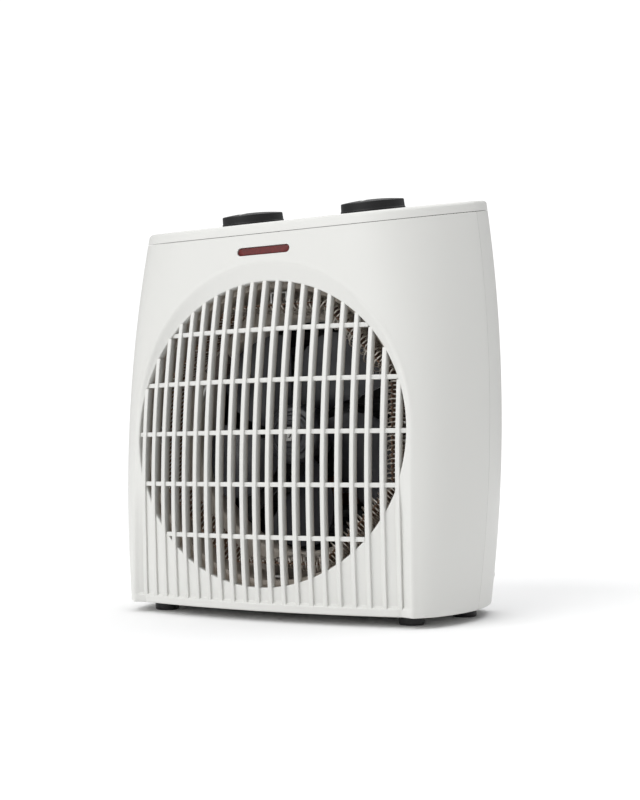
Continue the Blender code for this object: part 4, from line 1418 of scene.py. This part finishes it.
@dataclass
class Controls:
    """The two knobs with their pointers, and the printed marks round them."""

    form: OuterForm
    knob_x: float = KNOB_X
    knob_y: float = KNOB_Y
    radius: float = 21.2 * MM
    top_radius: float = 20.7 * MM
    height: float = 8.3 * MM
    lift: float = 0.5 * MM
    bore: float = 3.3 * MM
    crown: float = 1.4 * MM
    roof: float = 2.0 * MM
    skirt: float = 2.2 * MM
    boss: float = 2.0 * MM
    edge: float = 0.9 * MM
    line_start: float = 7.5 * MM
    line_end: float = 17.2 * MM
    mark_start: float = 23.2 * MM
    mark_end: float = 26.0 * MM

    def knob(self) -> Surface:
        """Crowned cap with a rounded edge, a fine step at its foot and a hollow underside.

        Returns:
            The closed cap.
        """
        top, base, tall, crown = self.top_radius, self.radius, self.height, self.crown
        roof, rim = tall - crown - self.roof, tall - crown
        reach, boss = top - 1.0 * MM, self.bore + self.boss
        share = np.linspace(0.0, 0.97, 14)[:, None]
        dome = np.hstack([reach * share, tall - crown * share ** 2])
        return turned(np.concatenate([dome, rounded([
            (reach, rim + 0.02 * MM, 0), (top - 0.05 * MM, rim - 0.25 * MM, self.edge),
            (base - 0.35 * MM, self.lift + 1.5 * MM, 0.2 * MM), (base, self.lift + 1.2 * MM, 0.3 * MM),
            (base, self.lift, 0.3 * MM), (base - 1.8 * MM, self.lift, 0.2 * MM),
            (base - self.skirt, roof, 0.3 * MM), (boss, roof, 0.3 * MM),
            (boss, self.lift, 0.2 * MM), (self.bore, self.lift, 0.2 * MM),
            (self.bore, roof, 0), (0.0, roof, 0)], steps=6)]), 96)

    def pointer(self) -> Surface:
        """Raised line from near the middle of the cap to its front edge.

        Returns:
            The closed line.
        """
        section = rounded([(-0.75 * MM, -0.3 * MM, 0), (0.75 * MM, -0.3 * MM, 0),
                           (0.75 * MM, 0.12 * MM, 0.15 * MM), (-0.75 * MM, 0.12 * MM, 0.15 * MM)], 3, True)
        y = np.linspace(-self.line_start, -self.line_end, 9)
        path = stack(0.0, y, self.height - self.crown * (y / self.top_radius) ** 2)
        return carried(path, section, ACROSS, UP)

    def marks(self, turns: Array) -> Surface:
        """Short printed lines that point at the knob.

        Args:
            turns: Their places in degrees from the front.

        Returns:
            The closed lines.
        """
        section = rounded([(-0.35 * MM, -0.05 * MM, 0), (0.35 * MM, -0.05 * MM, 0),
                           (0.35 * MM, 0.04 * MM, 0), (-0.35 * MM, 0.04 * MM, 0)], 1, True)
        made = []
        for turn in np.radians(turns):
            out = np.array([math.sin(turn), -math.cos(turn), 0.0])
            path = out[None] * np.array([[self.mark_start], [self.mark_end]])
            made.append(carried(path, section, np.array([-out[1], out[0], 0.0]), UP))
        return Surface.joined(made)

    def make(self) -> None:
        """Make both knobs, their pointers and the marks round them."""
        for side, name, body, turns in ((-1, "mode", Body.MODE, np.linspace(0, 270, 4)),
                                        (1, "thermostat", Body.THERMOSTAT, np.linspace(0, 300, 11))):
            place = on_cover(self.form, side * self.knob_x, self.knob_y)
            make_piece(f"{name}_knob_cap", self.knob().moved(place), BLACK, body, [f"{name}_knob"], 50.0)
            make_piece(f"{name}_pointer", self.pointer().moved(place), POINTER_WHITE, body)
            make_piece(f"{name}_marks", self.marks(turns).moved(place), PRINT, Body.HOUSING)


@dataclass
class IndicatorLens:
    """Red lens in the front shell, over the pilot lamp."""

    form: OuterForm
    half_length: float = 18.3 * MM
    half_height: float = 2.3 * MM
    height: float = 227.4 * MM
    recess: float = 0.45 * MM
    depth: float = 3.4 * MM

    def make(self) -> None:
        """Make the lens: a rounded stadium that follows the shell's front a little behind it."""
        outline = stadium(1.0, self.half_height / self.half_length, 14) * self.half_length
        share = np.concatenate([np.linspace(0.0, 0.8, 5), 1.0 - 0.2 * np.cos(arc(0, 90, 5))[1:]])[:, None]
        edge = 0.5 * MM * smooth_step(0.86, 1.0, share)
        x, z = outline[None, :, 0] * share, self.height + outline[None, :, 1] * share
        front = stack(x, self.form.front_depth(x, z) + self.recess + edge, z)
        back = front[::-1].copy()
        back[..., 1] = self.form.front(self.height) + self.depth
        surface = Surface.from_grid(np.concatenate([front, back]), wrap_columns=True)
        make_piece("lens_cap", surface, RED_LENS, Body.HOUSING, ["indicator_lens"], 50.0)


# ---------------------------------------------------------------- duct, element, fan


@dataclass
class HeatingElement:
    """Round air duct lined with eight insulating boards that carry two coiled wires."""

    axis_z: float = AXIS_Z
    duct: float = 91.0 * MM
    duct_wall: float = 2.0 * MM
    duct_front: float = -44.6 * MM
    duct_step: float = -10.0 * MM
    duct_back: float = 12.0 * MM
    throat: float = 75.5 * MM
    boards: int = 8
    apothem: float = 80.0 * MM
    board_thickness: float = 0.8 * MM
    board_length: float = 63.0 * MM
    board_front: float = -43.0 * MM
    board_back: float = -16.0 * MM
    notch_pitch: float = 3.5 * MM
    notch_depth: float = 2.2 * MM
    coil_depth: float = 10.2 * MM
    coil_thickness: float = 13.0 * MM
    coil_outside: float = 5.0 * MM
    coil_turns: int = 24
    coil_lean: float = 1.6 * MM
    coil_middle: float = 5.5 * MM
    coil_starts: tuple[tuple[str, float], ...] = (("low", -42.0 * MM), ("high", -29.0 * MM))
    wire_radius: float = 0.5 * MM
    flange: float = 96.2 * MM
    lip: float = 1.5 * MM

    def around(self, turn: float) -> Callable[[Array], Array]:
        """Turn points about the fan's axis, with Z pointing away from it.

        Args:
            turn: Angle from straight up.

        Returns:
            The function that places the points.
        """
        def place(points: Array) -> Array:
            """Turn about Y, then lift to the axis."""
            x, z = points[:, 0], points[:, 2]
            return stack(x * math.cos(turn) + z * math.sin(turn), points[:, 1],
                         self.axis_z - x * math.sin(turn) + z * math.cos(turn))
        return place

    def board(self) -> Surface:
        """Thin board whose front and back edges are notched at an even pitch.

        Returns:
            The closed board, lying square to Z.
        """
        half = self.board_length / 2
        count = int(self.board_length / self.notch_pitch)
        knots = (np.arange(count)[:, None] + np.array([0.30, 0.34, 0.66, 0.70])[None]).reshape(-1)
        x = np.concatenate([[-half], -half + knots * self.board_length / count, [half]])
        dip = np.concatenate([[0.0], np.tile([0.0, 1.0, 1.0, 0.0], count), [0.0]]) * self.notch_depth
        ends = 3.0 * MM * smooth_step(half - 2.5 * MM, half, np.abs(x))
        rows = np.stack([self.board_front + dip + ends, self.board_back - dip - ends])
        sheet = stack(x[None], rows, self.apothem)
        outer = sheet.reshape(-1, 3) + np.array([0.0, 0.0, self.board_thickness])
        return Surface.from_grid(sheet).thickened(outer)

    def coil(self, front: float) -> Surface:
        """Wire wound in long loops through the boards.

        Along each side of the octagon the wire turns in an ellipse that leans over its neighbour. Round
        one half of the ring the loops stand well off both sides of the boards, and round the other half
        they lie close to them.

        Args:
            front: Depth near which the loops start.

        Returns:
            The closed wire.
        """
        steps = 14 * self.coil_turns
        run = np.arange(steps * self.boards) / steps
        index, part = np.floor(run), run - np.floor(run)
        to_right = np.sin(TAU * (run - 0.5) / self.boards)
        fat = 0.16 + 0.84 * smooth_step(-0.35, 0.55, to_right)
        outer = self.apothem + self.board_thickness + self.coil_outside * smooth_step(-0.3, 0.5, to_right)
        side = (2.0 * outer - fat * self.coil_thickness) * math.tan(math.pi / self.boards)
        swing = TAU * self.coil_turns * run
        fade = np.minimum(1.0, 6.0 * np.minimum(part, 1.0 - part) + 0.35)
        along = (part - 0.5) * side + self.coil_lean * np.cos(swing) * fade
        uneven = 0.85 + 0.15 * np.sin(swing * 0.37 + index)
        out = outer - fat * uneven * self.coil_thickness / 2 * (1.0 - np.sin(swing))
        loose = 0.9 + 0.1 * np.sin(swing * 0.23)
        deep = front + self.coil_middle + self.coil_depth / 2 * np.cos(swing) * loose
        turn = TAU * index / self.boards
        path = stack(along * np.cos(turn) + out * np.sin(turn), deep,
                     self.axis_z - along * np.sin(turn) + out * np.cos(turn))
        return wire(path, self.wire_radius, 5, closed=True)

    def make(self) -> None:
        """Make the duct, the boards and the two coils."""
        outer, throat = self.duct + self.duct_wall, self.throat + self.duct_wall
        step = self.duct_step
        lip = self.duct_front - 0.3 * MM
        profile = rounded([(throat, self.duct_back, 0.4 * MM), (throat, step + self.duct_wall, 1 * MM),
                           (outer, step + self.duct_wall, 2 * MM), (outer, lip + self.lip, 0.5 * MM),
                           (self.flange, lip + self.lip, 0.3 * MM), (self.flange, lip, 0.3 * MM),
                           (self.duct, lip, 0.5 * MM), (self.duct, step, 2 * MM),
                           (self.throat, step, 2.5 * MM), (self.throat, self.duct_back, 0.4 * MM)], 4, True)
        make_piece("duct_wall", turned(profile, 128, closed=True).moved(along_depth(0.0, self.axis_z)),
                   DUCT_WHITE, Body.HOUSING, ["air_duct"])
        for index in range(self.boards):
            board = self.board().moved(self.around(TAU * index / self.boards))
            make_piece(f"insulating_board_{index + 1}", board, MICA, Body.HOUSING, [f"mica_board_{index + 1}"])
        for name, front in self.coil_starts:
            make_piece(f"coiled_wire_{name}", self.coil(front), NICHROME, Body.HOUSING,
                       [f"heating_wire_{name}"], 80.0)


@dataclass
class Fan:
    """Five wide blades round a ringed hub."""

    axis_z: float = AXIS_Z
    radius: float = 72.0 * MM
    hub: float = 19.5 * MM
    hub_front: float = -21.0 * MM
    bore: float = 2.8 * MM
    blades: int = 5
    thickness: float = 1.6 * MM
    blade_middle: float = -5.0 * MM
    blade_rise: tuple[float, float] = (18.0 * MM, 5.0 * MM)
    blade_spread: tuple[float, float] = (46.0, 10.0)
    blade_sweep: float = 0.35
    blade_belly: float = 1.2 * MM
    tip_trim: float = 6.5 * MM

    def hub_surface(self) -> Surface:
        """Hub turned about the axis, with concentric steps on its face.

        Returns:
            The closed hub.
        """
        bore = self.bore / MM
        corners = [(bore, 1.2, 0.1), (5.6, 1.2, 0.3), (6.0, 0.1, 0.3), (8.4, 0.0, 0.4), (8.9, 1.0, 0.3),
                   (11.6, 1.3, 0.3), (12.1, 0.3, 0.3), (13.8, 0.5, 0.4), (14.5, 1.9, 0.4), (17.2, 2.7, 0.5),
                   (19.3, 5.0, 1.2), (19.5, 24.0, 0.4), (17.6, 24.0, 0.3), (17.3, 6.4, 0.6), (6.4, 4.2, 0.4),
                   (6.0, 24.0, 0.3), (bore, 24.0, 0.1)]
        data = np.array(corners) * MM + np.array([0.0, self.hub_front, 0.0])
        return turned(rounded(data, 4, closed=True), 96, closed=True).moved(along_depth(0.0, self.axis_z))

    def blade(self, turn: float) -> Surface:
        """Curved sheet that widens outwards, sweeps round and twists along the axis.

        Args:
            turn: Angle of its root.

        Returns:
            The closed blade.
        """
        share = np.linspace(0.0, 1.0, 22)[:, None]
        place = np.linspace(-0.5, 0.5, 20)[None]
        root = self.hub - 1.2 * MM
        spread = np.radians(self.blade_spread[0] + self.blade_spread[1] * np.sin(math.pi * share))
        rise = self.blade_rise[0] - self.blade_rise[1] * share
        trim = 1.0 - self.tip_trim / self.radius * (2.0 * place) ** 4 * share
        reach = (root + (self.radius - root) * share) * trim
        angle = turn + self.blade_sweep * share + spread * place
        belly = self.blade_belly * np.cos(math.pi * place) * share
        sheet = stack(reach * np.cos(angle), reach * np.sin(angle), self.blade_middle + rise * place + belly)
        far = sheet.reshape(-1, 3) + np.array([0.0, 0.0, self.thickness])
        return Surface.from_grid(sheet).thickened(far).moved(along_depth(0.0, self.axis_z))

    def make(self) -> None:
        """Make the impeller."""
        blades = [self.blade(TAU * index / self.blades) for index in range(self.blades)]
        make_piece("fan_wheel", Surface.joined([self.hub_surface(), *blades]), FAN_BLACK, Body.ROTOR,
                   ["fan_impeller"], 40.0)


# ---------------------------------------------------------------- feet, inlet and dressed frame nodes


@dataclass
class Fittings:
    """Feet and cord inlet, and the finishes of the frame's own nodes."""

    foot_radius: float = 7.8 * MM
    stud_radius: float = 2.4 * MM
    shoulder: float = 6.1 * MM
    foot_top: float = 10.9 * MM
    feet: tuple[str, ...] = ("foot_front_left", "foot_front_right", "foot_rear_left", "foot_rear_right")
    bush_neck: float = 5.0 * MM
    bush_bore: float = 3.7 * MM
    bush_flange: float = 1.5 * MM
    dressed: dict[str, Finish] = field(default_factory=lambda: {
        "lamp_holder": WHITE, "pilot_lamp": LAMP_GLASS, "mode_switch_shaft": ZINC,
        "thermostat_spindle": ZINC, "mode_switch_body": PHENOLIC, "thermostat_body": PHENOLIC,
        "cord_clamp": BLACK, "terminal_block": PHENOLIC, "thermal_cutout": PHENOLIC, "thermal_fuse": ZINC,
        "fan_nut": ZINC, "motor_shaft": ZINC, "motor_rotor": CORE_STEEL, "motor_stator": CORE_STEEL,
        "motor_coil": COPPER_COIL, "motor_bracket_front": DARK_STEEL, "motor_bracket_rear": DARK_STEEL,
        "motor_bearing_front": SINTERED, "motor_bearing_rear": SINTERED, "motor_mount": DARK_STEEL,
        "element_clip_1": ZINC, "element_clip_2": ZINC, "element_clip_3": ZINC, "element_clip_4": ZINC,
        "housing_screw_lower_left": ZINC, "housing_screw_lower_right": ZINC,
        "housing_screw_upper_left": ZINC, "housing_screw_upper_right": ZINC})

    def foot(self) -> Surface:
        """Round pad with a softened rim, under a stud.

        Returns:
            The closed foot.
        """
        return turned(rounded([(0.0, 0.0, 0), (self.foot_radius - 0.6 * MM, 0.0, 0.6 * MM),
                               (self.foot_radius - 0.1 * MM, 1.1 * MM, 0.5 * MM),
                               (self.foot_radius, self.shoulder, 0.5 * MM),
                               (self.stud_radius, self.shoulder, 0.2 * MM),
                               (self.stud_radius, self.foot_top, 0.4 * MM), (0.0, self.foot_top, 0)], 4), 56)

    def make(self, nodes: dict[str, bpy.types.Object]) -> None:
        """Make the feet and the inlet bush, then dress every node that still shows.

        Args:
            nodes: The frame's own objects by name.
        """
        for name in self.feet:
            low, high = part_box(name)
            shift = np.array([(low.x + high.x) / 2, (low.y + high.y) / 2, 0.0])
            make_piece(f"{name}_pad", self.foot().moved(lambda points, by=shift: points + by), RUBBER,
                       Body.HOUSING, [name])
        low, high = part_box("cord_inlet_bush")
        outer, seat = (high.x - low.x) / 2, high.y - self.bush_flange
        neck, bore = self.bush_neck, self.bush_bore
        profile = rounded([(outer, seat, 0.1 * MM), (neck, seat, 0.1 * MM), (neck, low.y, 0.4 * MM),
                           (bore, low.y, 0.4 * MM), (bore, high.y, 0.6 * MM), (outer, high.y, 0.6 * MM)],
                          4, True)
        place = along_depth((low.x + high.x) / 2, (low.z + high.z) / 2)
        make_piece("inlet_bush_ring", turned(profile, 64, closed=True).moved(place), BLACK, Body.HOUSING,
                   ["cord_inlet_bush"])
        for name, finish in self.dressed.items():
            for socket in nodes[name].material_slots:
                socket.material = finish.material()


# ---------------------------------------------------------------- camera, floor and lights


@dataclass(frozen=True)
class SoftSun:
    """A wide distant light: its name, its turn and spread in degrees, and its strength."""

    name: str
    turn: tuple[float, float, float]
    strength: float
    spread: float


@dataclass
class Studio:
    """Pale floor, soft lights and the camera."""

    camera_place: tuple[float, float, float] = (0.3603, -0.6858, 0.0913)
    camera_tilt: float = 3.41
    camera_turn: float = 26.99
    lens: float = 53.2
    floor_size: float = 6.0
    floor_colour: Colour = (0.93, 0.93, 0.93)
    seen_strength: float = 1.1
    surround: Colour = (0.97, 0.98, 1.0)
    surround_strength: float = 0.29
    suns: tuple[SoftSun, ...] = (SoftSun("key", (57.0, 0.0, -24.0), 1.66, 50.0),
                                 SoftSun("fill", (72.0, 0.0, 108.0), 0.30, 80.0),
                                 SoftSun("overhead", (-12.0, 0.0, 0.0), 1.98, 80.0))

    def make_camera(self) -> None:
        """Place the camera a little above the floor, to the right of the grille's axis."""
        data = bpy.data.cameras.new("camera")
        data.lens, data.sensor_width, data.clip_start = self.lens, 36.0, 0.01
        camera = bpy.data.objects.new("camera", data)
        camera.location = self.camera_place
        camera.rotation_euler = Euler((math.radians(90.0 + self.camera_tilt), 0.0,
                                       math.radians(self.camera_turn)))
        bpy.context.scene.collection.objects.link(camera)
        bpy.context.scene.camera = camera

    def make_floor(self) -> None:
        """Lay a wide pale floor."""
        run = np.linspace(-self.floor_size, self.floor_size, 3)
        surface = Surface.from_grid(stack(run[:, None], run[None], 0.0))
        mesh = bpy.data.meshes.new("floor")
        mesh.from_pydata(surface.points.tolist(), [], surface.faces[:, ::-1].tolist())
        floor = bpy.data.objects.new("floor", mesh)
        bpy.context.scene.collection.objects.link(floor)
        material = bpy.data.materials.new("pale_floor")
        material.use_nodes = True
        graph = Graph(material.node_tree)
        material.node_tree.nodes.clear()
        shade = graph.node("BsdfDiffuse", {"Color": self.floor_colour})
        graph.node("OutputMaterial", {"Surface": shade.outputs[0]})
        mesh.materials.append(material)

    def make_lights(self) -> None:
        """Light the grille from the front left and the floor from above, with a pale surround."""
        world = bpy.data.worlds.new("surround")
        bpy.context.scene.world = world
        world.use_nodes = True
        world.node_tree.nodes.clear()
        graph = Graph(world.node_tree)
        seen = graph.node("Background", {"Color": (1.0, 1.0, 1.0), "Strength": self.seen_strength})
        unseen = graph.node("Background", {"Color": self.surround, "Strength": self.surround_strength})
        first = graph.node("LightPath").outputs["Is Camera Ray"]
        mixed = graph.node("MixShader", {0: first, 1: unseen.outputs[0], 2: seen.outputs[0]})
        graph.node("OutputWorld", {"Surface": mixed.outputs[0]})
        for sun in self.suns:
            data = bpy.data.lights.new(sun.name, "SUN")
            data.energy, data.angle = sun.strength, math.radians(sun.spread)
            light = bpy.data.objects.new(sun.name, data)
            light.rotation_euler = Euler([math.radians(value) for value in sun.turn])
            bpy.context.scene.collection.objects.link(light)
        settings = bpy.context.scene.view_settings
        settings.view_transform, settings.look = "Standard", "None"


def main() -> None:
    """Build every sub-assembly in order."""
    logging.basicConfig(level=logging.INFO, format="%(message)s")
    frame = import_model()
    studio = Studio()
    studio.make_camera()
    studio.make_floor()
    studio.make_lights()
    form = OuterForm()
    front = Front(form)
    front.make_shell()
    front.make_floor()
    front.make_panel()
    RearShell(form).make()
    TopCover(form).make()
    Controls(form).make()
    IndicatorLens(form).make()
    HeatingElement().make()
    Fan().make()
    Fittings().make(frame["nodes"])
    LOG.info("%d frame nodes", len(frame["nodes"]))


if __name__ == "__main__":
    main()
